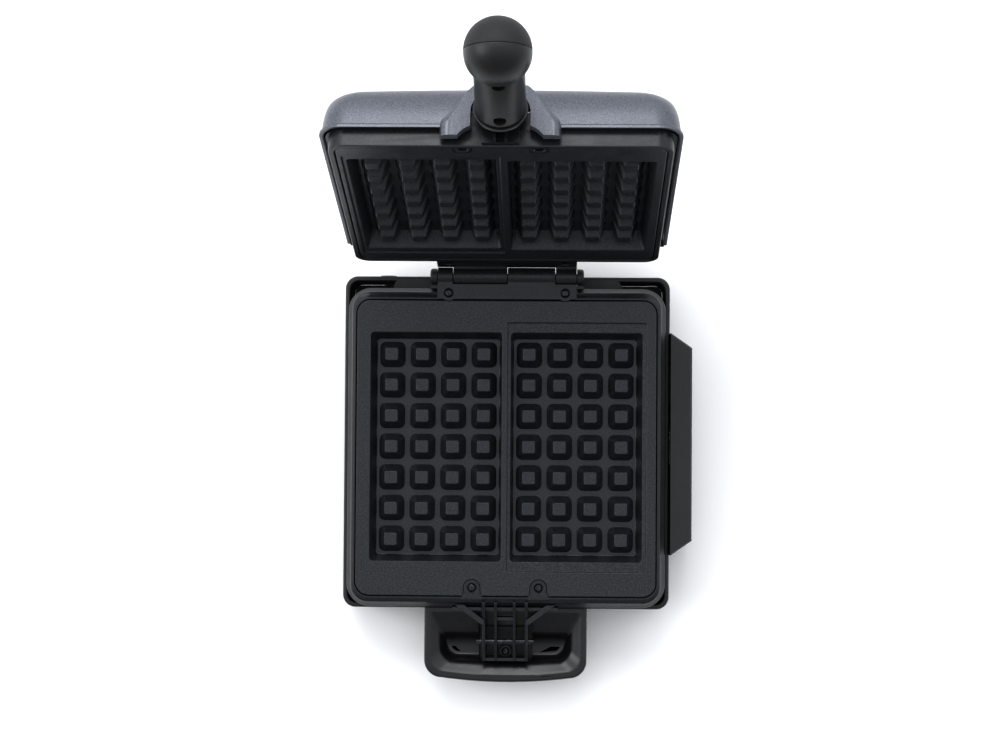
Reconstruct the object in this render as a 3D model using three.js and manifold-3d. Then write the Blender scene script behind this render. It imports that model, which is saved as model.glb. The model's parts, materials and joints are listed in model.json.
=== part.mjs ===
// Two-waffle maker with a lid that opens on a rear hinge.
// Millimetres. X to the right, Y to the back, Z up. The base sections are written with the floor
// at Z = 0 and the plate centred on X = Y = 0; the last lines move the origin under the whole object.
import * as THREE from 'three';
import { mergeVertices } from 'three/addons/utils/BufferGeometryUtils.js';
import Module from 'manifold-3d';

const wasm = await Module();
wasm.setup();

// ---------------------------------------------------------------- driving dimensions
const GAP = 0.4;                       // between pieces that touch
const ROUND_STEPS = 4;                 // facets in a rounded corner

// waffle grid
const CELL_X = 24.5;                   // stud pitch across
const CELL_Y = 24.57;                  // stud pitch along
const COLUMNS = 4;
const ROWS = 7;
const FIRST_COLUMN = 18.05;            // first stud centre from the middle rib
const STUD_TOP = 5.1;                  // half width of a stud's top
const STUD_FOOT = 10.2;                 // half width of a stud's foot
const STUD_HEIGHT = 12.5;
const CAVITY_IN = 3.7;                 // cavity edge beside the middle rib
const CAVITY_OUT = 108.3;
const CAVITY_END = 91;
const CAVITY_DRAFT = 4.2;
const RIB_DRAFT = 1.5;
const STEP_DEPTH = 1.2;                // shallow frame round one cavity of each plate
const STEP_OUT = 111.3;
const STEP_END = 99;

// heights
const LAND = 71;                       // top of the lower plate
const RIM = 71.5;                      // underside of the lid's rim
const UPPER_LAND = 72;                 // face of the upper plate, lid closed
const UPPER_TIPS = 74.5;               // ends of the upper studs, lid closed
const PLATE_SKIN = 2.2;
const FLANGE = 83;                     // lower edge of the lid cover, lid closed
const TRAY_TOP = 50;
const FOOT_HEIGHT = 6;

// outlines
const TRAY = { x: 131, front: -129.6, rear: 137.3, r: 10, wall: 4 };
const RING = { x: 127, front: -127.5, rear: 127, r: 18 };
const SEAM = { x: 120, front: -119, rear: 117.4, r: 11.5 };
const LID_RING = { x: 119.5, front: -119.5, rear: 117.5, r: 12 };
const LID_SEAM = { x: 115.4, front: -115.4, rear: 113.2, r: 9 };
const COVER = { rear: 109, wall: 1.8 };

// hinge
const HINGE_Y = 136.06;
const HINGE_Z = 65.4;
const BARREL_R = 7.3;
const BARREL_CLEAR = 8.0;
const PIN_R = 2.5;
const STRIP_X = 55.6;
const STRIP_REAR = 129.7;
const BASE_KNUCKLES = [[-55.4, -43.4], [0.6, 38.4]];
const LID_KNUCKLES = [[-42.8, 0.0], [39.0, 55.4]];
const OPEN_ANGLE = 104.65;             // degrees from closed to the open stop

// plate screws
const REAR_SCREW = { x: 46.5, y: 122.8 };
const FRONT_SCREW = { x: 26.5, y: -112 };
const BOSS_R = 6.4;
const HEAD_R = 3.1;
const SHANK_R = 1.6;

// right-hand control box
const BOX = { inner: TRAY.x + GAP, outer: 148.5, bottom: 9, top: 60, wall: 3 };
const DIAL = { y: 0, z: 33, r: 18.4, depth: 5.6 };
const LENS_Y = [44, 58];
const LENS_R = 4.2;

// front guard and bracket
const GUARD = { x: 65.5, back: -130.1, corner: -186.2, tip: -189.6, r: 14, top: 45, bottom: 8 };
const SLOT_X = 21.8;
const SLOT_END = -172.8;
const BRACKET_PIN = { y: -155.6, z: 56, half: 23, r: 2.2 };
const GUARD_SCREW_Y = -165.5;

// handle, lid closed
const HANDLE_PATH = new THREE.QuadraticBezierCurve3(
  new THREE.Vector3(0, -116, 89),
  new THREE.Vector3(0, -168, 106),
  new THREE.Vector3(0, -215, 98),
);
const NECK_R = 17.4;
const BALL_R = 22.5;
const HANDLE_WALL = 3;
const ARM_R = 8.5;
const HANDLE_SCREWS = [-145, -190];

// ---------------------------------------------------------------- materials
const material = (color, roughness, metalness) =>
  new THREE.MeshStandardMaterial({ color, roughness, metalness });
const BLACK_PLASTIC = material('#232327', 0.45, 0);
const HANDLE_PLASTIC = material('#1f1f21', 0.55, 0);
const NON_STICK = material('#3d4248', 0.5, 0.6);
const CASTING = material('#2e3136', 0.5, 0.5);
const COVER_PAINT = material('#83868d', 0.4, 0.7);
const STEEL = material('#8d9095', 0.35, 1);
const ALUMINIUM = material('#b9bcc0', 0.4, 1);
const HEATER_STEEL = material('#4c4a49', 0.5, 0.9);
const RUBBER = material('#1a1a1a', 0.9, 0);
const CERAMIC = material('#d8d4c8', 0.6, 0);
const BOARD = material('#8a7a4a', 0.7, 0);
const RED_LENS = material('#b3201c', 0.25, 0);
const GREEN_LENS = material('#2f8f3a', 0.25, 0);
const LAMP_GLASS = material('#e6d9c0', 0.2, 0);

// ---------------------------------------------------------------- solids
function solidOf(geometry) {
  const bare = geometry.index ? geometry.clone() : geometry;
  bare.deleteAttribute('normal');
  bare.deleteAttribute('uv');
  const merged = mergeVertices(bare, 1e-4);
  return new wasm.Manifold(new wasm.Mesh({
    numProp: 3,
    vertProperties: new Float32Array(merged.attributes.position.array),
    triVerts: new Uint32Array(merged.index.array),
  }));
}

function geometryOf(solid) {
  const mesh = solid.getMesh();
  const geometry = new THREE.BufferGeometry();
  geometry.setAttribute('position', new THREE.BufferAttribute(mesh.vertProperties, 3));
  geometry.setIndex(new THREE.BufferAttribute(mesh.triVerts, 1));
  geometry.computeVertexNormals();
  return geometry;
}

// a closed skin through rings of points; every ring is convex and has the same number of points
function skin(rings) {
  const count = rings[0].length;
  const positions = rings.flat().flatMap((p) => [p.x, p.y, p.z]);
  const index = [];
  for (let level = 0; level + 1 < rings.length; level += 1) {
    for (let i = 0; i < count; i += 1) {
      const a = level * count + i;
      const b = level * count + ((i + 1) % count);
      index.push(a, b, b + count, a, b + count, a + count);
    }
  }
  const last = (rings.length - 1) * count;
  for (let i = 1; i + 1 < count; i += 1) {
    index.push(0, i + 1, i);
    index.push(last, last + i, last + i + 1);
  }
  const geometry = new THREE.BufferGeometry();
  geometry.setAttribute('position', new THREE.Float32BufferAttribute(positions, 3));
  geometry.setIndex(index);
  return solidOf(geometry);
}

// levels of [z, outline], from the bottom up
const flatRing = (outline, z) => outline.map((p) => new THREE.Vector3(p.x, p.y, z));
const loft = (levels) => skin(levels.map(([z, outline]) => flatRing(outline, z)));

// counter-clockwise rectangle with round corners: front corners first
function roundRect(x0, x1, y0, y1, rFront, rRear = rFront, steps = ROUND_STEPS) {
  const corners = [
    [x0 + rFront, y0 + rFront, rFront, Math.PI],
    [x1 - rFront, y0 + rFront, rFront, 1.5 * Math.PI],
    [x1 - rRear, y1 - rRear, rRear, 0],
    [x0 + rRear, y1 - rRear, rRear, 0.5 * Math.PI],
  ];
  return corners.flatMap(([cx, cy, r, start]) => Array.from({ length: steps + 1 }, (_, i) => {
    const angle = start + (i / steps) * 0.5 * Math.PI;
    return new THREE.Vector2(cx + r * Math.cos(angle), cy + r * Math.sin(angle));
  }));
}

// an outline record grown by d
const grown = (o, d) => roundRect(-o.x - d, o.x + d, o.front - d, o.rear + d, o.r + d);
const slab = (outline, z0, z1) => loft([[z0, outline], [z1, outline]]);
const box = (x0, x1, y0, y1, z0, z1) => {
  const geometry = new THREE.BoxGeometry(x1 - x0, y1 - y0, z1 - z0);
  return solidOf(geometry.translate((x0 + x1) / 2, (y0 + y1) / 2, (z0 + z1) / 2));
};
const rodZ = (x, y, r, z0, z1, sides = 16) => {
  const geometry = new THREE.CylinderGeometry(r, r, z1 - z0, sides).rotateX(Math.PI / 2);
  return solidOf(geometry.translate(x, y, (z0 + z1) / 2));
};
const rodX = (y, z, r, x0, x1, sides = 20) => {
  const geometry = new THREE.CylinderGeometry(r, r, x1 - x0, sides).rotateZ(Math.PI / 2);
  return solidOf(geometry.translate((x0 + x1) / 2, y, z));
};
const rodY = (x, z, r, y0, y1, sides = 16) => {
  const geometry = new THREE.CylinderGeometry(r, r, y1 - y0, sides);
  return solidOf(geometry.translate(x, (y0 + y1) / 2, z));
};
// a prism from a side outline of [y, z] points, across X
function prismX(points, x0, x1) {
  const shape = new THREE.Shape(points.map(([y, z]) => new THREE.Vector2(y, z)));
  const geometry = new THREE.ExtrudeGeometry(shape, { depth: x1 - x0, bevelEnabled: false });
  geometry.applyMatrix4(new THREE.Matrix4().set(0, 0, 1, x0, 1, 0, 0, 0, 0, 1, 0, 0, 0, 0, 0, 1));
  return solidOf(geometry);
}
const joined = (solids) => solids.reduce((all, one) => all.add(one));
const bothSides = (make) => [-1, 1].map(make);

function piece(name, solid, look) {
  const mesh = new THREE.Mesh(solid.isBufferGeometry ? solid : geometryOf(solid), look);
  mesh.name = name;
  return mesh;
}

// ---------------------------------------------------------------- shared pieces
// a screw with its head's outer face at z, pointing down (dir = -1) or up (dir = 1)
function screw(name, x, y, z, length, dir, headR = HEAD_R, headH = 2.2) {
  const profile = [[0, 0], [headR, 0], [headR, headH], [SHANK_R, headH], [SHANK_R, length], [0, length]];
  const geometry = new THREE.LatheGeometry(profile.map(([r, h]) => new THREE.Vector2(r, h)), 12);
  geometry.rotateX(dir > 0 ? Math.PI / 2 : -Math.PI / 2);
  return piece(name, solidOf(geometry.translate(x, y, z)), STEEL);
}

// hole for such a screw: counterbore at the head, running hole for the shank
function screwHole(x, y, z, length, dir, headR = HEAD_R, headH = 2.2) {
  const sunk = z + dir * (headH + GAP);
  const end = z + dir * (length + 1);
  const mouth = z - dir * 5;
  const bore = rodZ(x, y, headR + GAP, Math.min(mouth, sunk), Math.max(mouth, sunk), 12);
  return bore.add(rodZ(x, y, SHANK_R + GAP, Math.min(z, end), Math.max(z, end), 12));
}

// one cavity, cut between z0 (floor) and z1 (mouth); side is -1 or 1
function cavity(side, floor, mouth) {
  const steep = CAVITY_DRAFT;
  const at = (d, rib) => {
    const x = [side * (CAVITY_IN + rib), side * (CAVITY_OUT - d)].sort((a, b) => a - b);
    return roundRect(x[0], x[1], -CAVITY_END + d, CAVITY_END - d, 4, 4, 2);
  };
  const levels = [[floor, at(steep, RIB_DRAFT)], [mouth, at(0, 0)]];
  return loft(levels.sort((a, b) => a[0] - b[0]));
}

// the studs of one cavity, foot at z0 and top at z1
function studs(side, foot, top) {
  const square = (x, y, h) => [[-h, -h], [h, -h], [h, h], [-h, h]]
    .map(([dx, dy]) => new THREE.Vector2(x + dx, y + dy));
  const all = [];
  for (let column = 0; column < COLUMNS; column += 1) {
    for (let row = 0; row < ROWS; row += 1) {
      const x = side * (FIRST_COLUMN + column * CELL_X);
      const y = (row - (ROWS - 1) / 2) * CELL_Y;
      const levels = [[foot, square(x, y, STUD_FOOT)], [top, square(x, y, STUD_TOP)]];
      all.push(loft(levels.sort((a, b) => a[0] - b[0])));
    }
  }
  return joined(all);
}

// a tubular heating element: a closed-end tube bent in a wide loop at height z
function heater(name, z) {
  const route = [[34, 60], [-40, 64], [-82, 52], [-88, 0], [-80, -56], [-30, -66], [30, -66], [80, -56],
    [88, 0], [84, 40]];
  const stops = route.map(([x, y]) => new THREE.Vector3(x, y, z));
  const path = new THREE.CatmullRomCurve3(stops, false, 'centripetal');
  const section = new THREE.Shape().absarc(0, 0, 3.2, 0, 2 * Math.PI);
  const geometry = new THREE.ExtrudeGeometry(section, {
    steps: 34, extrudePath: path, curveSegments: 4, bevelEnabled: false,
  });
  return piece(name, solidOf(geometry), HEATER_STEEL);
}

// a folded sheet under or over a plate
function reflector(name, half, front, rear, z0, z1) {
  const outline = roundRect(-half, half, front, rear, 8);
  return piece(name, slab(outline, z0, z1), ALUMINIUM);
}

// ---------------------------------------------------------------- base
function baseTray() {
  const inner = { x: TRAY.x - TRAY.wall, front: TRAY.front + TRAY.wall, rear: TRAY.rear - TRAY.wall, r: 6 };
  let solid = slab(grown(TRAY, 0), FOOT_HEIGHT, TRAY_TOP).subtract(slab(grown(inner, 0), 0, TRAY_TOP + 1));
  bothSides((side) => {
    const x = [57 * side, 84 * side].sort((a, b) => a - b);
    solid = solid.add(box(x[0], x[1], 125, inner.rear + 1, 34, TRAY_TOP - 2));
  });
  solid = solid.subtract(rodY(-98, 22, 5.6, inner.rear - 1, TRAY.rear + 1));
  solid = solid.subtract(rodX(DIAL.y + 24, 26, 6, inner.x - 1, TRAY.x + 1, 12));
  return piece('base_tray', solid, BLACK_PLASTIC);
}

const POST = { x: 120.8, y: 98, r: 4.4 };
const CORNERS = [[-1, -1], [1, -1], [1, 1], [-1, 1]];

function bottomCover() {
  const d = TRAY.wall + GAP;
  const outline = roundRect(-TRAY.x + d, TRAY.x - d, TRAY.front + d, TRAY.rear - d, 6);
  let solid = slab(outline, FOOT_HEIGHT, FOOT_HEIGHT + 3);
  CORNERS.forEach(([sx, sy]) => {
    solid = solid.add(rodZ(sx * POST.x, sy * POST.y, POST.r, FOOT_HEIGHT, 40));
    solid = solid.subtract(screwHole(sx * POST.x, sy * POST.y, FOOT_HEIGHT + GAP, 41, 1));
  });
  bothSides((side) => {
    for (let slot = -3; slot <= 3; slot += 1) {
      const y = slot * 12;
      solid = solid.subtract(box(side * 62 - 16, side * 62 + 16, y - 1.5, y + 1.5, 0, 20));
    }
  });
  return piece('bottom_cover', solid, BLACK_PLASTIC);
}

function foot(number, x, y) {
  const profile = [[0, 0], [8, 0], [9.4, 1.2], [9.4, FOOT_HEIGHT - GAP], [0, FOOT_HEIGHT - GAP]];
  const geometry = new THREE.LatheGeometry(profile.map(([r, h]) => new THREE.Vector2(r, h)), 16);
  return piece(`foot_${number}`, solidOf(geometry.rotateX(Math.PI / 2).translate(x, y, 0)), RUBBER);
}

function lowerFrame() {
  const skirt = { x: 124.5, front: -123.5, rear: 124.5, r: 15 };
  const lip = { x: 121.6, front: -120.6, rear: 119, r: 13 };
  let solid = loft([[40.4, grown(skirt, 0)], [TRAY_TOP + GAP, grown(skirt, 0)],
    [TRAY_TOP + 2 * GAP, grown(RING, 0)],
    [62, grown(RING, 0)], [63.6, grown(RING, -1.2)], [LAND - GAP, grown(lip, 0)]]);
  solid = solid.add(box(-STRIP_X, STRIP_X, 112, STRIP_REAR, 58, LAND));
  BASE_KNUCKLES.forEach(([x0, x1]) => {
    solid = solid.add(rodX(HINGE_Y, HINGE_Z, BARREL_R, x0, x1)).add(box(x0, x1, 120, HINGE_Y, 58.4, LAND));
  });
  solid = solid.subtract(slab(grown(SEAM, 0), 55.5, 90)).subtract(slab(grown(SEAM, -12), 30, 60));
  solid = solid.subtract(slab(grown(SEAM, -2), 30, 51));
  bothSides((side) => {
    solid = solid.add(box(side * FRONT_SCREW.x - BOSS_R, side * FRONT_SCREW.x + BOSS_R,
      FRONT_SCREW.y - 10, FRONT_SCREW.y, 53, LAND - GAP));
    solid = solid.add(rodZ(side * FRONT_SCREW.x, FRONT_SCREW.y, BOSS_R, 53, LAND - GAP));
    solid = solid.add(rodZ(side * REAR_SCREW.x, REAR_SCREW.y, BOSS_R, 53, LAND));
    solid = solid.subtract(screwHole(side * FRONT_SCREW.x, FRONT_SCREW.y, LAND - 1.2, 13, -1));
    solid = solid.subtract(screwHole(side * REAR_SCREW.x, REAR_SCREW.y, LAND - 0.8, 13, -1));
  });
  CORNERS.forEach(([sx, sy]) => {
    solid = solid.add(box(sx * POST.x - 3.5, sx * POST.x + 3.5, sy * POST.y - 6, sy * POST.y + 6, 40.4, 52));
    solid = solid.subtract(rodZ(sx * POST.x, sy * POST.y, SHANK_R + GAP, 40, 49, 12));
  });
  const clear = [[-43.4, 0.6], [38.4, STRIP_X + 1]];
  clear.forEach(([x0, x1]) => {
    solid = solid.subtract(rodX(HINGE_Y, HINGE_Z, BARREL_CLEAR, x0, x1));
  });
  solid = solid.subtract(rodX(HINGE_Y, HINGE_Z, PIN_R + GAP, -70, 70));
  return piece('lower_frame', solid, CASTING);
}

// a plate without studs: shell with a rim, open at the back, notched round the screw bosses
function plateBlank(seam, face, back, relief) {
  const [low, high] = [Math.min(face, back), Math.max(face, back)];
  const [r0, r1] = [Math.min(relief, back), Math.max(relief, back)];
  let solid = slab(grown(seam, -GAP - 0.2), low, high);
  const [blockX, blockY] = [CAVITY_OUT + 2.6, CAVITY_END + 2.6];
  const blocks = box(-blockX, blockX, -blockY, blockY, r0 - 2, r1 + 2);
  const hollow = slab(grown(seam, -4), r0 - (relief > back ? 1 : 0), r1 + (relief < back ? 1 : 0));
  solid = solid.subtract(hollow.subtract(blocks));
  bothSides((side) => {
    const x = side * FRONT_SCREW.x;
    const reach = BOSS_R + GAP + 0.2;
    solid = solid.subtract(rodZ(x, FRONT_SCREW.y, reach, low - 1, high + 1));
    solid = solid.subtract(box(x - reach, x + reach, FRONT_SCREW.y - 12, FRONT_SCREW.y, low - 1, high + 1));
    solid = solid.subtract(rodZ(side * REAR_SCREW.x, REAR_SCREW.y, reach, low - 1, high + 1));
  });
  return solid;
}

function lowerPlate() {
  const floor = LAND - STUD_HEIGHT;
  let solid = plateBlank(SEAM, LAND, floor - PLATE_SKIN, LAND - 3);
  solid = solid.subtract(box(1, STEP_OUT, -STEP_END, STEP_END, LAND - STEP_DEPTH, LAND + 1));
  bothSides((side) => {
    solid = solid.subtract(cavity(side, floor, LAND + 0.01)).add(studs(side, floor - 0.5, LAND));
  });
  return piece('lower_plate', solid, NON_STICK);
}

const ANGLED_END = 12;                 // how far the box's ends run in on the outer side
function controlBox() {
  const wall = BOX.wall;
  const sides = (d, x0) => [[x0, -86 + d], [BOX.outer - d, -86 + d + ANGLED_END - d / 2],
    [BOX.outer - d, 92.2 - d - ANGLED_END + d / 2], [x0, 92.2 - d]].map(([x, y]) => new THREE.Vector2(x, y));
  let solid = loft([[BOX.bottom, sides(1.5, BOX.inner)], [BOX.bottom + 3, sides(0, BOX.inner)],
    [BOX.top - 2, sides(0, BOX.inner)], [BOX.top, sides(1.5, BOX.inner)]]);
  solid = solid.subtract(slab(sides(wall, BOX.inner - 1), BOX.bottom + wall, TRAY_TOP - 1));
  solid = solid.subtract(slab(sides(wall, BOX.inner + wall), TRAY_TOP - 2, BOX.top - wall));
  solid = solid.subtract(rodX(DIAL.y, DIAL.z, DIAL.r + GAP, BOX.outer - 8, BOX.outer + 1, 28));
  LENS_Y.forEach((y) => {
    solid = solid.subtract(rodX(y, DIAL.z, LENS_R + GAP, BOX.outer - 8, BOX.outer + 1, 14));
  });
  return piece('control_box', solid, BLACK_PLASTIC);
}

function temperatureDial() {
  const face = BOX.outer - 0.2;
  let solid = rodX(DIAL.y, DIAL.z, DIAL.r, face - DIAL.depth, face, 28);
  const dish = rodX(DIAL.y, DIAL.z, DIAL.r - 3, face - 3.4, face + 1, 24);
  const grip = box(face - 6, face + 2, DIAL.y - 3, DIAL.y + 3, DIAL.z - DIAL.r, DIAL.z + DIAL.r);
  solid = solid.subtract(dish.subtract(grip));
  return piece('temperature_dial', solid, BLACK_PLASTIC);
}

function thermostat() {
  const x0 = TRAY.x + GAP;
  const solid = box(x0, x0 + 7.5, DIAL.y - 13, DIAL.y + 13, DIAL.z - 15, DIAL.z + 13);
  return piece('thermostat', solid.subtract(rodX(DIAL.y, DIAL.z, 3.4, x0 + 4, x0 + 9)), CERAMIC);
}

function dialShaft() {
  const end = BOX.outer - 0.2 - DIAL.depth - GAP;
  return piece('dial_shaft', rodX(DIAL.y, DIAL.z, 3, TRAY.x + GAP + 4.4, end, 14), STEEL);
}

function indicator(name, y, look) {
  const profile = [[0, 0], [LENS_R, 0], [LENS_R, 3], [LENS_R - 1.6, 3.7], [0, 3.9]];
  const geometry = new THREE.LatheGeometry(profile.map(([r, h]) => new THREE.Vector2(r, h)), 14);
  geometry.rotateZ(-Math.PI / 2).translate(BOX.outer - 3.2, y, DIAL.z);
  return piece(name, solidOf(geometry), look);
}

function lamp(name, y) {
  return piece(name, rodX(y, DIAL.z, 2.6, TRAY.x + GAP + 2.4, BOX.outer - 3.6, 10), LAMP_GLASS);
}

function indicatorBoard() {
  const x0 = TRAY.x + GAP;
  const board = box(x0, x0 + 2, LENS_Y[0] - 8, LENS_Y[1] + 8, DIAL.z - 10, DIAL.z + 10);
  return piece('indicator_board', board, BOARD);
}

function cordGland() {
  const y0 = TRAY.rear - TRAY.wall - 1;
  const profile = [[3.6, 0], [5.2, 0], [5.2, TRAY.wall + 1 + GAP], [7.6, TRAY.wall + 1 + GAP],
    [6.8, TRAY.wall + 3.2], [3.6, TRAY.wall + 3.2], [3.6, 0]];
  const geometry = new THREE.LatheGeometry(profile.map(([r, h]) => new THREE.Vector2(r, h)), 16);
  return piece('cord_gland', solidOf(geometry.translate(-98, y0, 22)), RUBBER);
}

function terminalBlock() {
  const z0 = FOOT_HEIGHT + 3 + GAP;
  let solid = box(-114, -84, 108, 122, z0, z0 + 14);
  for (let way = 0; way < 3; way += 1) {
    solid = solid.subtract(rodZ(-109 + way * 10, 115, 2.4, z0 + 5, z0 + 16, 8));
  }
  return piece('terminal_block', solid, CERAMIC);
}

function thermalFuse() {
  return piece('thermal_fuse', rodX(12, 46.4, 2.2, -9, 9, 10), CERAMIC);
}

function guardOutline(inset) {
  const x = GUARD.x - inset;
  const back = GUARD.back - inset;
  const corner = GUARD.corner + inset;
  const r = Math.max(GUARD.r - inset, 2);
  const points = [new THREE.Vector2(-x, back)];
  for (let i = 0; i <= ROUND_STEPS; i += 1) {
    const angle = Math.PI + (i / ROUND_STEPS) * 0.5 * Math.PI;
    points.push(new THREE.Vector2(-x + r + r * Math.cos(angle), corner + r + r * Math.sin(angle)));
  }
  for (let i = 1; i < 8; i += 1) {
    const t = i / 4 - 1;
    points.push(new THREE.Vector2(t * (x - r), corner - (GUARD.corner - GUARD.tip) * (1 - t * t)));
  }
  for (let i = 0; i <= ROUND_STEPS; i += 1) {
    const angle = (1.5 + 0.5 * (i / ROUND_STEPS)) * Math.PI;
    points.push(new THREE.Vector2(x - r + r * Math.cos(angle), corner + r + r * Math.sin(angle)));
  }
  points.push(new THREE.Vector2(x, back));
  return points;
}

function frontGuard() {
  const flat = (outline) => outline.map((p) => new THREE.Vector2(p.x, Math.min(p.y, GUARD.back)));
  let solid = loft([[GUARD.bottom, flat(guardOutline(7))], [GUARD.bottom + 10, flat(guardOutline(2.5))],
    [38, flat(guardOutline(0))], [GUARD.top - 1.2, flat(guardOutline(0))],
    [GUARD.top, flat(guardOutline(1.2))]]);
  const under = slab(guardOutline(9.5), 0, 26.5);
  solid = solid.subtract(under.subtract(box(-SLOT_X - 2.6, SLOT_X + 2.6, SLOT_END - 2.6, 0, 0, 60)));
  const mouth = roundRect(-59.5, 59.5, -183.8, -133.5, 12, 5);
  const floor = roundRect(-50, 50, -176.5, -153, 9, 3);
  solid = solid.subtract(loft([[30, floor], [GUARD.top + 0.1, mouth]]));
  solid = solid.subtract(box(-SLOT_X, SLOT_X, SLOT_END, GUARD.back - 3, 16, 60));
  solid = solid.subtract(rodZ(0, GUARD_SCREW_Y, SHANK_R + GAP, 0, 20, 12));
  return piece('front_guard', solid, BLACK_PLASTIC);
}

function frontBracket() {
  const back = RING.front - GAP;
  const reach = -122;
  const profile = [[reach, 50.8], [reach, 70], [-127, 70], [-140, 61.5], [-160, 59.5], [-172, 50],
    [-172, 22], [-146, 22], [-134, 42], [-134, 50.8]];
  const rib = (x, thick) => prismX(profile, x - thick / 2, x + thick / 2);
  const gusset = (side) => {
    const outline = [[42, reach], [38, reach], [16.8, -138], [16.8, -141.4], [19, -141.4], [42, reach - 2.6]];
    const points = outline.map(([x, y]) => new THREE.Vector2(side * x, y));
    const shape = new THREE.Shape(side > 0 ? points : points.reverse());
    const plate = new THREE.ExtrudeGeometry(shape, { depth: 14, bevelEnabled: false });
    return solidOf(plate.translate(0, 0, 51.5));
  };
  const ringClear = loft([[40, grown(RING, GAP)], [62.2, grown(RING, GAP)], [64, grown(RING, -0.8)],
    [71.2, grown(RING, -5)]]);
  let solid = joined([
    rib(-17, 2.6), rib(17, 2.6), rib(-7.4, 2.2), rib(7.4, 2.2),
    box(-42, 42, back - 2.6, back, 51, 63.4),
    box(-8, 8, -138.4, -136, 48, 61),
    box(-17, 17, -172, -169.6, 22, 49),
    box(-17, 17, -171, -146.5, 22, 24.6),
    rodZ(0, GUARD_SCREW_Y, 4.6, 16 + GAP, 34),
    ...bothSides(gusset),
  ]).subtract(ringClear);
  solid = solid.subtract(rodX(BRACKET_PIN.y, BRACKET_PIN.z, BRACKET_PIN.r + GAP, -30, 30, 12));
  solid = solid.subtract(rodZ(0, GUARD_SCREW_Y, SHANK_R + GAP, 0, 40, 12));
  return piece('front_bracket', solid, CASTING);
}

function bracketPin() {
  const { y, z, r, half } = BRACKET_PIN;
  return piece('bracket_pin', rodX(y, z, r, -half, half, 12), STEEL);
}

function hingePin() {
  return piece('hinge_pin', rodX(HINGE_Y, HINGE_Z, PIN_R, -60, 60, 14), STEEL);
}

const CAP_R = 6.4;
function hingeCap(name, side) {
  const x = [side * (STRIP_X + 0.4), side * (STRIP_X + 5.8)].sort((a, b) => a - b);
  const bore = [side * STRIP_X, side * (60 + GAP)].sort((a, b) => a - b);
  const hole = rodX(HINGE_Y, HINGE_Z, PIN_R + GAP, bore[0], bore[1], 14);
  return piece(name, rodX(HINGE_Y, HINGE_Z, CAP_R, x[0], x[1]).subtract(hole), BLACK_PLASTIC);
}

// ---------------------------------------------------------------- lid, drawn closed
function upperFrame() {
  const shelf = { x: 122, front: -122, rear: 108, r: 18 };
  const top = 96.6;
  let solid = slab(grown(LID_RING, 0), RIM, top);
  const shelfOutline = roundRect(-shelf.x, shelf.x, shelf.front, shelf.rear, shelf.r, 2);
  solid = solid.add(slab(shelfOutline, FLANGE + GAP, 86.2));
  solid = solid.add(box(-STRIP_X, STRIP_X, 114, 131, UPPER_LAND, 80));
  LID_KNUCKLES.forEach(([x0, x1]) => {
    solid = solid.add(rodX(HINGE_Y, HINGE_Z, BARREL_R, x0, x1)).add(box(x0, x1, 130.3, 141, 66, 80));
  });
  solid = solid.subtract(slab(grown(LID_SEAM, 0), 60, 110));
  bothSides((side) => {
    solid = solid.add(box(side * FRONT_SCREW.x - BOSS_R, side * FRONT_SCREW.x + BOSS_R,
      -117, FRONT_SCREW.y, UPPER_LAND, 92));
    solid = solid.add(rodZ(side * FRONT_SCREW.x, FRONT_SCREW.y, BOSS_R, UPPER_LAND, 92));
    solid = solid.subtract(screwHole(side * FRONT_SCREW.x, FRONT_SCREW.y, UPPER_LAND + 0.8, 13, 1));
    solid = solid.subtract(screwHole(side * REAR_SCREW.x, REAR_SCREW.y, UPPER_LAND + 0.5, 6.2, 1));
  });
  solid = solid.subtract(box(-20, 20, -130, LID_RING.front, 70, 100));
  const clear = [[-STRIP_X - 1, -42.8], [0, 39]];
  clear.forEach(([x0, x1]) => {
    solid = solid.subtract(rodX(HINGE_Y, HINGE_Z, BARREL_CLEAR, x0, x1));
  });
  solid = solid.subtract(rodX(HINGE_Y, HINGE_Z, PIN_R + GAP, -70, 70));
  return piece('upper_frame', solid, CASTING);
}

function upperPlate() {
  const floor = UPPER_TIPS + STUD_HEIGHT;
  let solid = plateBlank(LID_SEAM, UPPER_LAND, floor + PLATE_SKIN, UPPER_LAND + 3);
  solid = solid.subtract(box(-STEP_OUT, -1, -STEP_END, STEP_END, UPPER_LAND - 1, UPPER_LAND + STEP_DEPTH));
  bothSides((side) => {
    solid = solid.subtract(cavity(side, floor, UPPER_LAND - 0.01)).add(studs(side, floor + 0.5, UPPER_TIPS));
  });
  return piece('upper_plate', solid, NON_STICK);
}

// half width, front and height of the lid cover's skin, from the lower edge up
const COVER_LEVELS = [[126, -126, 83], [126, -126, 84.8], [124.6, -124.6, 86], [123.2, -123, 98],
  [120.5, -120, 107],
  [115.5, -114.5, 113], [108, -106, 115.8], [88, -84, 118]];

function coverVolume(inset, drop, rear) {
  return loft(COVER_LEVELS.map(([x, front, z], i) => [
    i === 0 ? z - (inset ? 1 : 0) : z - drop,
    roundRect(-x + inset, x - inset, front + inset, rear, 18 - inset, 0.5),
  ]));
}

// the lid's top is gently domed from side to side
const CROWN = 3.4;
const CROWN_FOOT = 98;
function crowned(solid) {
  return solid.refineToLength(26).warp((p) => {
    const rise = Math.max(p[2] - CROWN_FOOT, 0) / (118 - CROWN_FOOT);
    p[2] += CROWN * rise * rise * (1 - (p[0] / 126) ** 2);
  });
}

// outline of the hood over the handle's root, in the XZ plane, w half wide at its foot
function hoodRing(y, w) {
  const right = [[w, 75], [w, 84], [w - 0.8, 87], [w * 0.5 + 11.5, 98], [22.9, 109.5], [19, 112.8],
    [12, 114.8], [4, 115.6]];
  const left = right.map(([x, z]) => [-x, z]);
  return [...left, ...right.reverse()].map(([x, z]) => new THREE.Vector3(x, y, z));
}

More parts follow.
